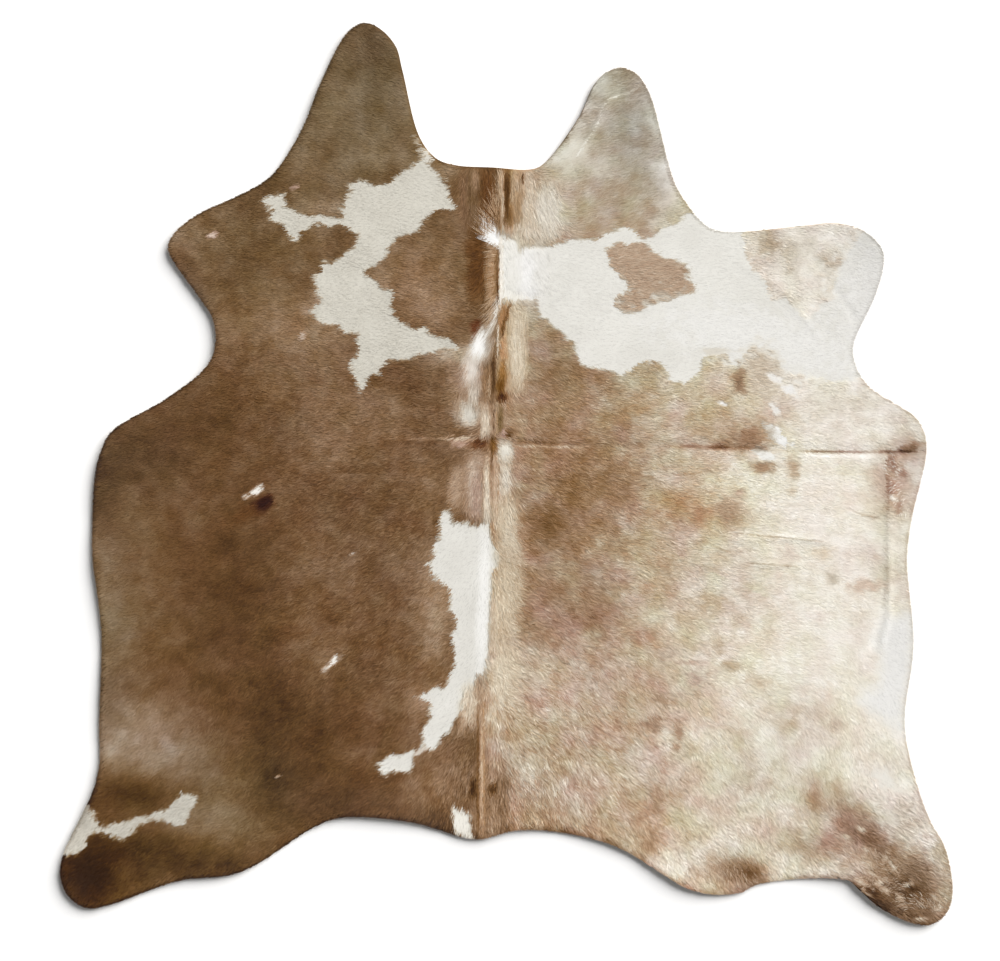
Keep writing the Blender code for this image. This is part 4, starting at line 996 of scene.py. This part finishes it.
def suede_material():
    """The flesh side: pale buff suede, a little blotchy, with the nap of its short fibres as a bump."""
    suede = bpy.data.materials.new("flesh side suede")
    suede.use_nodes = True
    nodes, links = suede.node_tree.nodes, suede.node_tree.links
    shader = nodes["Principled BSDF"]
    shader.inputs["Roughness"].default_value = 0.95
    shader.inputs["Specular IOR Level"].default_value = 0.15
    place = nodes.new("ShaderNodeTexCoord")
    nap = nodes.new("ShaderNodeTexNoise")
    nap.inputs["Scale"].default_value = 9.0
    nap.inputs["Detail"].default_value = 8.0
    nap.inputs["Roughness"].default_value = 0.65
    ramp = nodes.new("ShaderNodeValToRGB")
    ramp.color_ramp.elements[0].position = 0.30
    ramp.color_ramp.elements[0].color = (0.47, 0.38, 0.28, 1.0)
    ramp.color_ramp.elements[1].position = 0.72
    ramp.color_ramp.elements[1].color = (0.66, 0.58, 0.46, 1.0)
    fibre = nodes.new("ShaderNodeTexNoise")
    fibre.inputs["Scale"].default_value = 900.0
    fibre.inputs["Detail"].default_value = 3.0
    bump = nodes.new("ShaderNodeBump")
    bump.inputs["Strength"].default_value = 0.4
    bump.inputs["Distance"].default_value = 0.0005
    links.new(place.outputs["Object"], nap.inputs["Vector"])
    links.new(place.outputs["Object"], fibre.inputs["Vector"])
    links.new(nap.outputs["Fac"], ramp.inputs["Fac"])
    links.new(ramp.outputs["Color"], shader.inputs["Base Color"])
    links.new(fibre.outputs["Fac"], bump.inputs["Height"])
    links.new(bump.outputs["Normal"], shader.inputs["Normal"])
    return suede


def coat_colours(tone, warmth, lean, clear):
    """The four numbers that the hair's colour is worked out from, for each point of a mesh."""
    return np.stack([tone, warmth, 0.5 + 0.25 * lean, clear], axis=-1)


SHEET_STEP = 0.012
plan, cells, border = lattice_sheet(SHEET_STEP)
plan_x, plan_y = plan[:, 0], plan[:, 1]
top_points = np.column_stack([plan, skin_top(plan_x, plan_y)])
under_points = np.column_stack([plan, under_height(plan_x, plan_y)])
count = len(plan)
top_triangles = halves(plan, cells)
wall = np.concatenate([np.column_stack([border[:, 1], border[:, 0], border[:, 0] + count]),
                       np.column_stack([border[:, 1], border[:, 0] + count, border[:, 1] + count])])
skin_points = np.vstack([top_points, under_points])
skin_triangles = np.vstack([top_triangles, top_triangles[:, ::-1] + count, wall])
skin_coat = np.tile(coat_colours(*coat_at(plan_x, plan_y), np.full(count, 0.5)), (2, 1))
skin_mesh = new_mesh("skin", skin_points, skin_triangles, {"strand": flat_map(skin_points)}, skin_coat)

suede = suede_material()
# The hair side of the skin shows between the tufts in the coat's colours at 0.87 of their brightness: a
# painted shade for the depth under the tufts
skin_mesh.materials.append(hair_material("undercoat in painted shade", 0.87, 0.85, (900.0, 900.0, 1.0)))
skin_mesh.materials.append(suede)
faces_of = np.zeros(len(skin_triangles), np.int32)
faces_of[len(top_triangles):] = 1
skin_mesh.polygons.foreach_set("material_index", faces_of)
skin = hide_piece("skin", skin_mesh)


# ---------------------------------------------------------------------------------------------------
# The coat. Short cow hair, about 15 mm long, that grows out of the skin at a low angle and lies flat on
# it, combed from the spine down to the belly and back to the tail. It is made of fine pointed tufts,
# each one a few dozen hairs, in four joined pieces: both shoulders and both haunches.

# Which way the hair lies: place, x, y, heading in degrees (0 to the right, 90 to the neck), reach
LIE = (
    ("left neck flap", -0.33, 0.92, 170, 0.12),
    ("left neck flap root", -0.30, 0.72, 182, 0.12),
    ("left shoulder", -0.55, 0.58, 188, 0.14),
    ("left foreleg", -0.74, 0.50, 195, 0.12),
    ("left withers", -0.18, 0.45, 183, 0.10),
    ("left ribs", -0.42, 0.30, 180, 0.16),
    ("left brisket", -0.68, 0.12, 194, 0.16),
    ("left chest", -0.88, 0.02, 196, 0.12),
    ("left back", -0.28, 0.14, 186, 0.12),
    ("left of the knot", -0.12, 0.02, 205, 0.05),
    ("left saddle", -0.30, -0.04, 204, 0.12),
    ("left belly", -0.55, -0.12, 205, 0.16),
    ("left flank", -0.84, -0.25, 203, 0.16),
    ("beside the back patch", -0.18, -0.28, 212, 0.10),
    ("left loin", -0.42, -0.30, 212, 0.16),
    ("left haunch", -0.66, -0.54, 226, 0.16),
    ("left rump", -0.26, -0.60, 216, 0.14),
    ("left thigh", -0.50, -0.76, 216, 0.16),
    ("left stifle", -0.88, -0.74, 213, 0.14),
    ("left hind foot", -0.97, -0.93, 222, 0.12),
    ("rump beside the tail", -0.14, -0.76, 252, 0.08),
    ("nape", -0.03, 0.66, 268, 0.05),
    ("withers", -0.01, 0.45, 270, 0.04),
    ("spine above the fold", -0.02, 0.22, 268, 0.04),
    ("spine below the fold", -0.035, -0.05, 270, 0.04),
    ("loin", -0.050, -0.30, 266, 0.04),
    ("croup", -0.060, -0.55, 264, 0.04),
    ("tail", -0.055, -0.78, 268, 0.05),
    ("right neck flap", 0.27, 0.84, 20, 0.12),
    ("right neck flap root", 0.22, 0.64, 24, 0.10),
    ("right nape", 0.08, 0.60, 300, 0.06),
    ("right shoulder", 0.42, 0.44, 360, 0.16),
    ("right foreleg", 0.72, 0.46, 341, 0.14),
    ("right withers", 0.16, 0.40, 345, 0.10),
    ("right back", 0.10, 0.18, 335, 0.08),
    ("right ribs", 0.32, 0.16, 350, 0.14),
    ("right elbow", 0.62, 0.14, 352, 0.16),
    ("right chest", 0.86, 0.08, 338, 0.12),
    ("right of the knot", 0.06, 0.02, 332, 0.04),
    ("right back below the fold", 0.14, 0.01, 340, 0.10),
    ("right back low", 0.30, -0.06, 345, 0.14),
    ("right belly", 0.62, -0.12, 347, 0.18),
    ("right belly edge", 0.86, -0.20, 338, 0.12),
    ("right loin", 0.09, -0.28, 334, 0.09),
    ("right loin low", 0.30, -0.30, 334, 0.14),
    ("right flank", 0.66, -0.36, 346, 0.18),
    ("right flank edge", 0.88, -0.50, 318, 0.12),
    ("right croup", 0.08, -0.52, 324, 0.09),
    ("right haunch", 0.26, -0.60, 317, 0.14),
    ("right rump", 0.10, -0.74, 296, 0.08),
    ("right thigh", 0.42, -0.84, 312, 0.14),
    ("right stifle", 0.60, -0.66, 310, 0.14),
    ("right hock", 0.80, -0.62, 292, 0.10),
    ("right hind leg", 0.88, -0.88, 328, 0.12),
)


FAR_OFF = 1e-7                 # what each place still counts far outside its reach


def lie_of_hair(x, y):
    """Heading of the hair in radians: the mean of the headings around, each weighted by a bell of the
    distance from its place."""
    east, north = np.zeros(x.shape), np.zeros(x.shape)
    for _place, cx, cy, heading, reach in LIE:
        weight = bell(x, y, cx, cy, reach) / reach ** 0.5 + FAR_OFF
        east += weight * math.cos(math.radians(heading))
        north += weight * math.sin(math.radians(heading))
    return np.arctan2(north, east)


def room_ahead(x, y, heading, length, overhang):
    """How much of each tuft's length there is before it would reach past the cut edge by more than
    the overhang: the furthest of eight places along it that is still inside that line."""
    room = np.zeros(x.shape)
    open_so_far = np.ones(x.shape, bool)
    for share in np.linspace(0.0, 1.0, 9)[1:]:
        ahead = depth(x + np.cos(heading) * length * share, y + np.sin(heading) * length * share)
        open_so_far &= ahead > -overhang
        room = np.where(open_so_far, share, room)
    return room * length


# The height of the skin, read between the points of the same lattice as the depth
skin_lattice = skin_top(depth_x.ravel(), depth_y.ravel()).reshape(depth_x.shape)


def on_skin(x, y):
    """Height of the skin's hair side, read between the lattice points."""
    return between(skin_lattice, x, y, -DEPTH_HALF, DEPTH_STEP)


# How clearly single tufts show: place, x, y, reach, strength. White hair is finer and lies smoother
CLEARNESS = (
    ("left neck flap", -0.33, 0.88, 0.20, 0.55),
    ("left shoulder", -0.60, 0.50, 0.20, 0.80),
    ("left back", -0.28, 0.05, 0.25, 1.25),
    ("left chest", -0.85, 0.00, 0.20, 0.60),
    ("left belly", -0.66, -0.22, 0.20, 0.55),
    ("left loin", -0.35, -0.30, 0.20, 1.50),
    ("left stifle", -0.85, -0.66, 0.20, 0.65),
    ("left thigh", -0.45, -0.72, 0.20, 0.85),
    ("right neck flap", 0.26, 0.80, 0.20, 0.85),
    ("right withers", 0.14, 0.26, 0.15, 1.20),
    ("right back", 0.16, -0.02, 0.20, 1.70),
    ("right loin", 0.20, -0.30, 0.20, 1.50),
    ("right rump", 0.14, -0.72, 0.20, 2.70),
    ("right ribs", 0.46, -0.08, 0.20, 1.30),
    ("right flank", 0.50, -0.40, 0.20, 0.90),
    ("right thigh", 0.52, -0.80, 0.20, 1.10),
    ("right belly", 0.78, -0.20, 0.25, 0.42),
    ("right hock", 0.78, -0.62, 0.20, 0.60),
    ("right hind foot", 0.90, -0.93, 0.14, 2.40),
    ("right thigh edge", 0.54, -0.92, 0.10, 2.20),
)


def whiteness(tone, warmth):
    """1 where the coat is white, 0 where it is brown or cream, and a slope between."""
    return np.clip((tone - 0.70) / 0.08, 0.0, 1.0) * np.clip((0.75 - warmth) / 0.15, 0.0, 1.0)


def clearness(x, y, tone, warmth):
    """How strongly the tufts differ at each place: the mean of the places around, each weighted by a
    bell, and next to nothing of that where the coat is white."""
    total, weights = np.full(x.shape, 0.09), np.full(x.shape, 0.1)
    for _place, cx, cy, reach, strength in CLEARNESS:
        weight = bell(x, y, cx, cy, reach)
        total += strength * weight
        weights += weight
    return total / weights * (1.0 - 0.95 * whiteness(tone, warmth))


WIDEST = 0.35                  # where along a tuft it is widest


def tuft_points(x, y, heading, length, width, rise, roll):
    """Tufts as pointed lenses of four points each: the root in the skin, the left and right corner
    where the tuft is widest, and the tip. Its middle line climbs with the square root of the length
    run, so it leaves the skin steeply and lies down; the roll lifts one corner against the other."""
    along_x, along_y = np.cos(heading), np.sin(heading)
    half = 0.5 * width
    wide_x, wide_y = x + along_x * length * WIDEST, y + along_y * length * WIDEST
    tip_x, tip_y = x + along_x * length, y + along_y * length
    wide_z = on_skin(wide_x, wide_y) + rise * math.sqrt(WIDEST)
    root = np.stack([x, y, on_skin(x, y) - 0.0002], axis=1)
    lift = half * np.tan(roll)
    left = np.stack([wide_x - along_y * half, wide_y + along_x * half, wide_z + lift], axis=1)
    right = np.stack([wide_x + along_y * half, wide_y - along_x * half, wide_z - lift], axis=1)
    tip = np.stack([tip_x, tip_y, np.maximum(on_skin(tip_x, tip_y) + rise, 0.001)], axis=1)
    return np.stack([root, right, left, tip], axis=1)


TUFT_TRIANGLES = np.array([(0, 1, 2), (2, 1, 3)])
TUFT_MAP = np.array([(0.5, 0.0), (1.0, WIDEST), (0.0, WIDEST), (0.5, 1.0)])
TUFT_LIGHT = np.array([-0.030, -0.006, -0.006, 0.022])     # a tuft is a little lighter at its tip

hair_finish = hair_material("cow hair", 1.0, 0.62, (5.0, 1.3, 1.0))

ROOT_STEP = 0.0029             # the roots stand on a square lattice of this step,
ROOT_STRAY = 0.65              # moved by up to this share of a step
ROOT_MARGIN = 0.0006           # and stay this far inside the cut edge
TUFT_LENGTH = 0.0155
TUFT_WIDTH = 0.0021
OVERHANG = 0.0018
HEADING_WAVE = 0.20            # how far the lie of the hair wanders, in radians
HEADING_SCATTER = 0.24         # and how far single tufts stray from it
SEEN_AT = 0.65                 # a tuft takes the coat's colour at this share of its length
TUFT_MOTTLE = 0.026            # how much one tuft's tone differs from its neighbours'
PARTED_X, PARTED_Y = -0.02, -0.13      # where the four pieces of the coat meet
rng = np.random.default_rng(7)
root_x, root_y = np.meshgrid(np.arange(-HIDE_WIDTH / 2, HIDE_WIDTH / 2, ROOT_STEP),
                             np.arange(-HIDE_LENGTH / 2, HIDE_LENGTH / 2, ROOT_STEP))
root_x = root_x.ravel() + rng.uniform(-ROOT_STRAY, ROOT_STRAY, root_x.size) * ROOT_STEP
root_y = root_y.ravel() + rng.uniform(-ROOT_STRAY, ROOT_STRAY, root_y.size) * ROOT_STEP
kept = depth(root_x, root_y) > ROOT_MARGIN
root_x, root_y = root_x[kept], root_y[kept]
heading = lie_of_hair(root_x, root_y) + HEADING_WAVE * cloud(root_x, root_y, 0.03, 61)
heading += rng.normal(0.0, HEADING_SCATTER, root_x.size)
length = TUFT_LENGTH * rng.uniform(0.75, 1.35, root_x.size) * np.interp(
    clearness(root_x, root_y, np.zeros(root_x.size), np.ones(root_x.size)), (1.0, 3.0), (1.0, 1.5))
length = np.minimum(length, room_ahead(root_x, root_y, heading, length, OVERHANG) + 0.0015)
width = TUFT_WIDTH * rng.uniform(0.7, 1.25, root_x.size)
number = rng.uniform(0.0, 1.0, root_x.size)
seen_x = root_x + np.cos(heading) * length * SEEN_AT
seen_y = root_y + np.sin(heading) * length * SEEN_AT
tone, warmth, lean = coat_at(seen_x, seen_y)
clear = clearness(seen_x, seen_y, tone, warmth)
tone = tone + clear * (rng.normal(0.0, TUFT_MOTTLE, root_x.size)
                       + 0.022 * cloud(seen_x, seen_y, 0.010, 73, 2))
rise = rng.uniform(0.0007, 0.0017, root_x.size) * np.clip(length / TUFT_LENGTH, 0.4, 1.0)
rise *= np.interp(clear, (0.0, 1.0), (0.2, 1.0))
roll = rng.normal(0.0, 0.11, root_x.size) * np.minimum(clear, 1.3)

on_left, in_front = root_x < PARTED_X, root_y > PARTED_Y
QUARTERS = (
    ("coat_left_fore", on_left & in_front),
    ("coat_right_fore", ~on_left & in_front),
    ("coat_left_hind", on_left & ~in_front),
    ("coat_right_hind", ~on_left & ~in_front),
)
for name, where in QUARTERS:
    points = tuft_points(root_x[where], root_y[where], heading[where], length[where], width[where],
                         rise[where], roll[where])
    tufts = len(points)
    flat = points.reshape(-1, 3)
    triangles = (np.arange(tufts)[:, None, None] * 4 + TUFT_TRIANGLES).reshape(-1, 3)
    shift = np.stack([7.0 * number[where], 3.0 * number[where]], axis=1)
    uvs = {"strand": (shift[:, None, :] + TUFT_MAP).reshape(-1, 2), "OFBake": flat_map(flat)}
    coat = coat_colours((tone[where][:, None] + clear[where][:, None] * TUFT_LIGHT).ravel(),
                        *(np.repeat(value[where], 4) for value in (warmth, lean, clear)))
    mesh = new_mesh(name, flat, triangles, uvs, coat)
    mesh.materials.append(hair_finish)
    hide_piece(name, mesh)


# ---------------------------------------------------------------------------------------------------
# The mane. Along the neck and withers the hair is longer than elsewhere, up to 7 cm, and falls to both
# sides of the spine, down to a whorl at the cross fold and a fan of fine locks below it; a thin seam of
# longer hair runs on to the tail. A few curls stand at the right hind foot and at the right edge.

# Areas of long hair in the coat's own colours: name, left x, right x, top y, bottom y, heading along
# the left side, heading along the right side, length, number of strands
MANE = (
    ("nape, left", -0.099, -0.015, 0.702, 0.583, 266, 262, 0.034, 900),
    ("nape, middle", -0.015, 0.041, 0.702, 0.574, 270, 270, 0.034, 700),
    ("nape, right", 0.041, 0.120, 0.695, 0.569, 276, 302, 0.032, 800),
    ("white fall", -0.008, 0.036, 0.553, 0.453, 296, 276, 0.040, 700),
    ("white fall, right", 0.036, 0.090, 0.532, 0.439, 296, 300, 0.034, 650),
    ("withers, cream", 0.003, 0.050, 0.394, 0.215, 270, 268, 0.036, 1100),
    ("withers, peach", -0.015, 0.003, 0.392, 0.210, 258, 268, 0.024, 380),
    ("wisp, top", -0.017, -0.008, 0.420, 0.355, 232, 238, 0.070, 260),
    ("wisp", -0.060, -0.026, 0.355, 0.289, 238, 250, 0.048, 820),
    ("wisp, pink", -0.098, -0.056, 0.299, 0.210, 246, 262, 0.038, 720),
    ("wisp, pale patch", -0.116, -0.066, 0.205, 0.150, 254, 266, 0.034, 420),
    ("withers, brown locks", -0.062, -0.027, 0.261, 0.182, 266, 268, 0.024, 380),
    ("withers, peach locks", -0.062, -0.024, 0.173, 0.103, 267, 271, 0.024, 420),
    ("withers, olive locks", -0.022, -0.003, 0.166, 0.107, 270, 278, 0.020, 180),
    ("fan, left", -0.113, -0.055, 0.054, -0.075, 236, 262, 0.026, 700),
    ("fan, middle", -0.055, -0.017, 0.049, -0.093, 268, 272, 0.026, 600),
    ("fan, right", -0.017, 0.027, 0.072, -0.075, 278, 304, 0.026, 620),
    ("spine, upper", -0.024, 0.031, -0.061, -0.294, 276, 300, 0.026, 900),
    ("spine, lower", -0.041, 0.013, -0.294, -0.504, 272, 290, 0.026, 700),
    ("tail", -0.085, -0.029, -0.490, -0.812, 266, 272, 0.026, 1000),
)

# Locks with a colour of their own: name, first root x, y, last root x, y, spread of the roots, first
# and last heading, length, bend, number of strands, tone, warmth
LOCKS = (
    ("nape, dark line", 0.038, 0.705, 0.038, 0.686, 0.0014, 270, 270, 0.018, 0, 30, 0.22, 1.20),
    ("nape, golden hairs", -0.015, 0.649, -0.015, 0.588, 0.0070, 262, 250, 0.030, -10, 60, 0.52, 1.20),
    ("golden wisps", -0.012, 0.572, -0.014, 0.612, 0.0040, 138, 112, 0.066, -12, 110, 0.60, 1.20),
    ("golden hairs, high", -0.012, 0.605, -0.010, 0.690, 0.0030, 116, 100, 0.045, -10, 100, 0.66, 1.15),
    ("golden wisps, low", -0.020, 0.540, -0.020, 0.572, 0.0040, 158, 140, 0.072, -14, 60, 0.64, 1.10),
    ("white tuft", -0.015, 0.528, -0.015, 0.562, 0.0050, 152, 134, 0.058, -10, 460, 0.97, 0.15),
    ("golden fringe", -0.022, 0.525, -0.022, 0.406, 0.0023, 176, 206, 0.030, 8, 260, 0.60, 1.15),
    ("golden fringe, low", -0.022, 0.406, -0.027, 0.373, 0.0028, 206, 228, 0.046, 8, 110, 0.60, 1.10),
    ("dark edge", -0.022, 0.485, -0.020, 0.404, 0.0014, 266, 266, 0.014, 0, 40, 0.24, 1.20),
    ("pale spine line", -0.013, 0.574, -0.013, 0.415, 0.0019, 270, 268, 0.030, 0, 90, 0.90, 0.60),
    ("dark curve", 0.008, 0.397, -0.010, 0.331, 0.0021, 236, 262, 0.018, 14, 80, 0.25, 1.30),
    ("thin cream line", -0.019, 0.355, -0.020, 0.285, 0.0014, 268, 268, 0.026, 0, 50, 0.80, 0.90),
    ("brown locks, lights", -0.041, 0.238, -0.041, 0.187, 0.0028, 268, 270, 0.024, 0, 50, 0.66, 1.10),
    ("dark streak", -0.030, 0.271, -0.030, 0.210, 0.0019, 268, 268, 0.020, 0, 60, 0.22, 1.15),
    ("thin dark line", -0.029, 0.154, -0.029, 0.107, 0.0012, 270, 270, 0.014, 0, 36, 0.24, 1.20),
    ("golden line", -0.023, 0.166, -0.023, 0.103, 0.0016, 270, 270, 0.018, 0, 50, 0.62, 1.30),
    ("fan, dark line", -0.033, 0.051, -0.033, 0.035, 0.0009, 270, 270, 0.012, 0, 16, 0.26, 1.20),
    ("fan, gold line", -0.019, 0.009, -0.020, -0.072, 0.0012, 270, 270, 0.022, 0, 30, 0.56, 1.20),
    ("hind foot, upper curls", 0.836, -0.880, 0.892, -0.912, 0.018, 200, 320, 0.021, 110, 160, 0.66, 0.85),
    ("hind foot, middle curls", 0.836, -0.940, 0.902, -0.975, 0.020, 310, 60, 0.020, -120, 180, 0.66, 0.85),
    ("hind foot, toe curls", 0.925, -1.000, 1.010, -1.010, 0.016, 140, 30, 0.021, 90, 170, 0.70, 0.85),
    ("belly edge curls", 0.890, 0.040, 0.930, -0.090, 0.014, 70, 190, 0.015, 120, 70, 0.88, 0.70),
    ("thigh edge tufts", 0.455, -0.925, 0.590, -0.925, 0.022, 220, 300, 0.024, 30, 120, 0.66, 0.95),
    ("tail, gold line", -0.052, -0.518, -0.052, -0.812, 0.0019, 269, 269, 0.024, 0, 150, 0.54, 1.30),
)
MANE_STEPS = 4
MANE_WIDTH = 0.0015
MANE_LIFT = 0.0006             # the mane lies over the coat's tufts
MANE_SCATTER = 0.08            # how far single strands stray from their area's heading, in radians
MANE_SEEN_AT = 0.55            # a strand takes the coat's colour at this share of its length


def strand_points(x, y, heading, bend, length, width, rise, roll, steps):
    """Strands as tapering blades, whole arrays at a time. A strand's middle line leaves its root at the
    heading, turns by the bend over its length, and climbs by rise times (2u - u squared), so it comes
    up out of the skin and then lies down. Its width falls with the square root of what is left of it,
    to nothing at the tip, and the roll lifts one side of it against the other."""
    u = np.linspace(0.0, 1.0, steps + 1)
    turned = heading[:, None] + bend[:, None] * (u[1:] - 0.5 / steps)[None, :]
    step = (length / steps)[:, None]
    px = np.concatenate([x[:, None], x[:, None] + np.cumsum(np.cos(turned) * step, axis=1)], axis=1)
    py = np.concatenate([y[:, None], y[:, None] + np.cumsum(np.sin(turned) * step, axis=1)], axis=1)
    base = on_skin(px.ravel(), py.ravel()).reshape(px.shape)
    pz = base + rise[:, None] * (2 * u - u * u)[None, :]
    facing = np.concatenate([turned[:, :1], turned], axis=1)
    half = 0.5 * width[:, None] * np.sqrt(1.0 - u)[None, :]
    nx, ny = -np.sin(facing) * half, np.cos(facing) * half
    nz = half * np.tan(roll)[:, None]
    left = np.stack([px + nx, py + ny, pz + nz], axis=2)
    right = np.stack([px - nx, py - ny, pz - nz], axis=2)
    tip = np.stack([px[:, -1], py[:, -1], pz[:, -1]], axis=1)
    body = np.stack([left[:, :-1], right[:, :-1]], axis=2).reshape(len(x), 2 * steps, 3)
    return np.concatenate([body, tip[:, None, :]], axis=1)


strands, strand_coats, strand_maps = [], [], []
along = np.repeat(np.linspace(0.0, 1.0, MANE_STEPS + 1), 2)[:-1]
across = np.tile([0.0, 1.0], MANE_STEPS + 1)[:-1]
across[-1] = 0.5


def comb(start_x, start_y, heading, bend, length, tone, warmth, lean, clear):
    """Adds strands to the mane, with their colours, each a little different from the next, and their
    place on the hair's own map."""
    count = len(start_x)
    length = np.minimum(length, 0.001 + room_ahead(start_x, start_y, heading, length, 0.001))
    strands.append(strand_points(
        start_x, start_y, heading, bend, length, MANE_WIDTH * rng.uniform(0.6, 1.2, count),
        MANE_LIFT + rng.uniform(0.0, 0.0013, count) * (0.2 + 0.8 * clear),
        rng.normal(0.0, 0.14, count) * clear, MANE_STEPS))
    tone = tone + rng.normal(0.0, 0.040, count) * clear
    shade = tone[:, None] + 0.06 * (along - 0.6) * clear[:, None]
    strand_coats.append(coat_colours(shade, *(np.repeat(value[:, None], along.size, axis=1)
                                              for value in (warmth, lean, clear))))
    strand_maps.append(np.stack([across + 7.0 * rng.uniform(0.0, 1.0, count)[:, None],
                                 along + 3.0 * rng.uniform(0.0, 1.0, count)[:, None]], axis=2))


for _name, left, right, top, bottom, first, last, area_length, how_many in MANE:
    share = rng.uniform(0.0, 1.0, how_many)
    start_x = left + (right - left) * share
    start_y = rng.uniform(bottom, top, how_many)
    strand_heading = np.radians(first + (last - first) * share) + rng.normal(0.0, MANE_SCATTER, how_many)
    strand_length = area_length * rng.uniform(0.6, 1.2, how_many)
    seen_x = start_x + np.cos(strand_heading) * strand_length * MANE_SEEN_AT
    seen_y = start_y + np.sin(strand_heading) * strand_length * MANE_SEEN_AT
    tone, warmth, lean = coat_at(seen_x, seen_y)
    clear = 1.0 - 0.8 * whiteness(tone, warmth)
    comb(start_x, start_y, strand_heading, rng.normal(0.0, 0.16, how_many), strand_length, tone, warmth,
         lean, clear)
for (_name, x0, y0, x1, y1, spread, first, last, lock_length, lock_bend, how_many, lock_tone,
        lock_warmth) in LOCKS:
    share = rng.uniform(0.0, 1.0, how_many)
    scatter = rng.uniform(-spread, spread, (2, how_many))
    comb(x0 + (x1 - x0) * share + scatter[0], y0 + (y1 - y0) * share + scatter[1],
         np.radians(first + (last - first) * share) + rng.normal(0.0, MANE_SCATTER, how_many),
         np.radians(lock_bend) + rng.normal(0.0, 0.20, how_many),
         lock_length * rng.uniform(0.5, 1.2, how_many), np.full(how_many, lock_tone),
         np.full(how_many, lock_warmth), np.zeros(how_many),
         np.full(how_many, 1.0 - 0.7 * float(whiteness(lock_tone, lock_warmth))))
strands = np.concatenate(strands)
points_each = 2 * MANE_STEPS + 1
blade = [(2 * k, 2 * k + 1, 2 * k + 3) for k in range(MANE_STEPS - 1)]
blade += [(2 * k, 2 * k + 3, 2 * k + 2) for k in range(MANE_STEPS - 1)]
blade.append((2 * MANE_STEPS - 2, 2 * MANE_STEPS - 1, 2 * MANE_STEPS))
mane_triangles = (np.arange(len(strands))[:, None, None] * points_each + np.array(blade)).reshape(-1, 3)
mane_flat = strands.reshape(-1, 3)
mane_mesh = new_mesh("mane", mane_flat, mane_triangles,
                     {"strand": np.concatenate(strand_maps).reshape(-1, 2), "OFBake": flat_map(mane_flat)},
                     np.concatenate(strand_coats).reshape(-1, 4))
mane_mesh.materials.append(hair_material("mane hair", 1.02, 0.50, (4.0, 3.0, 1.0)))
mane = hide_piece("mane", mane_mesh)
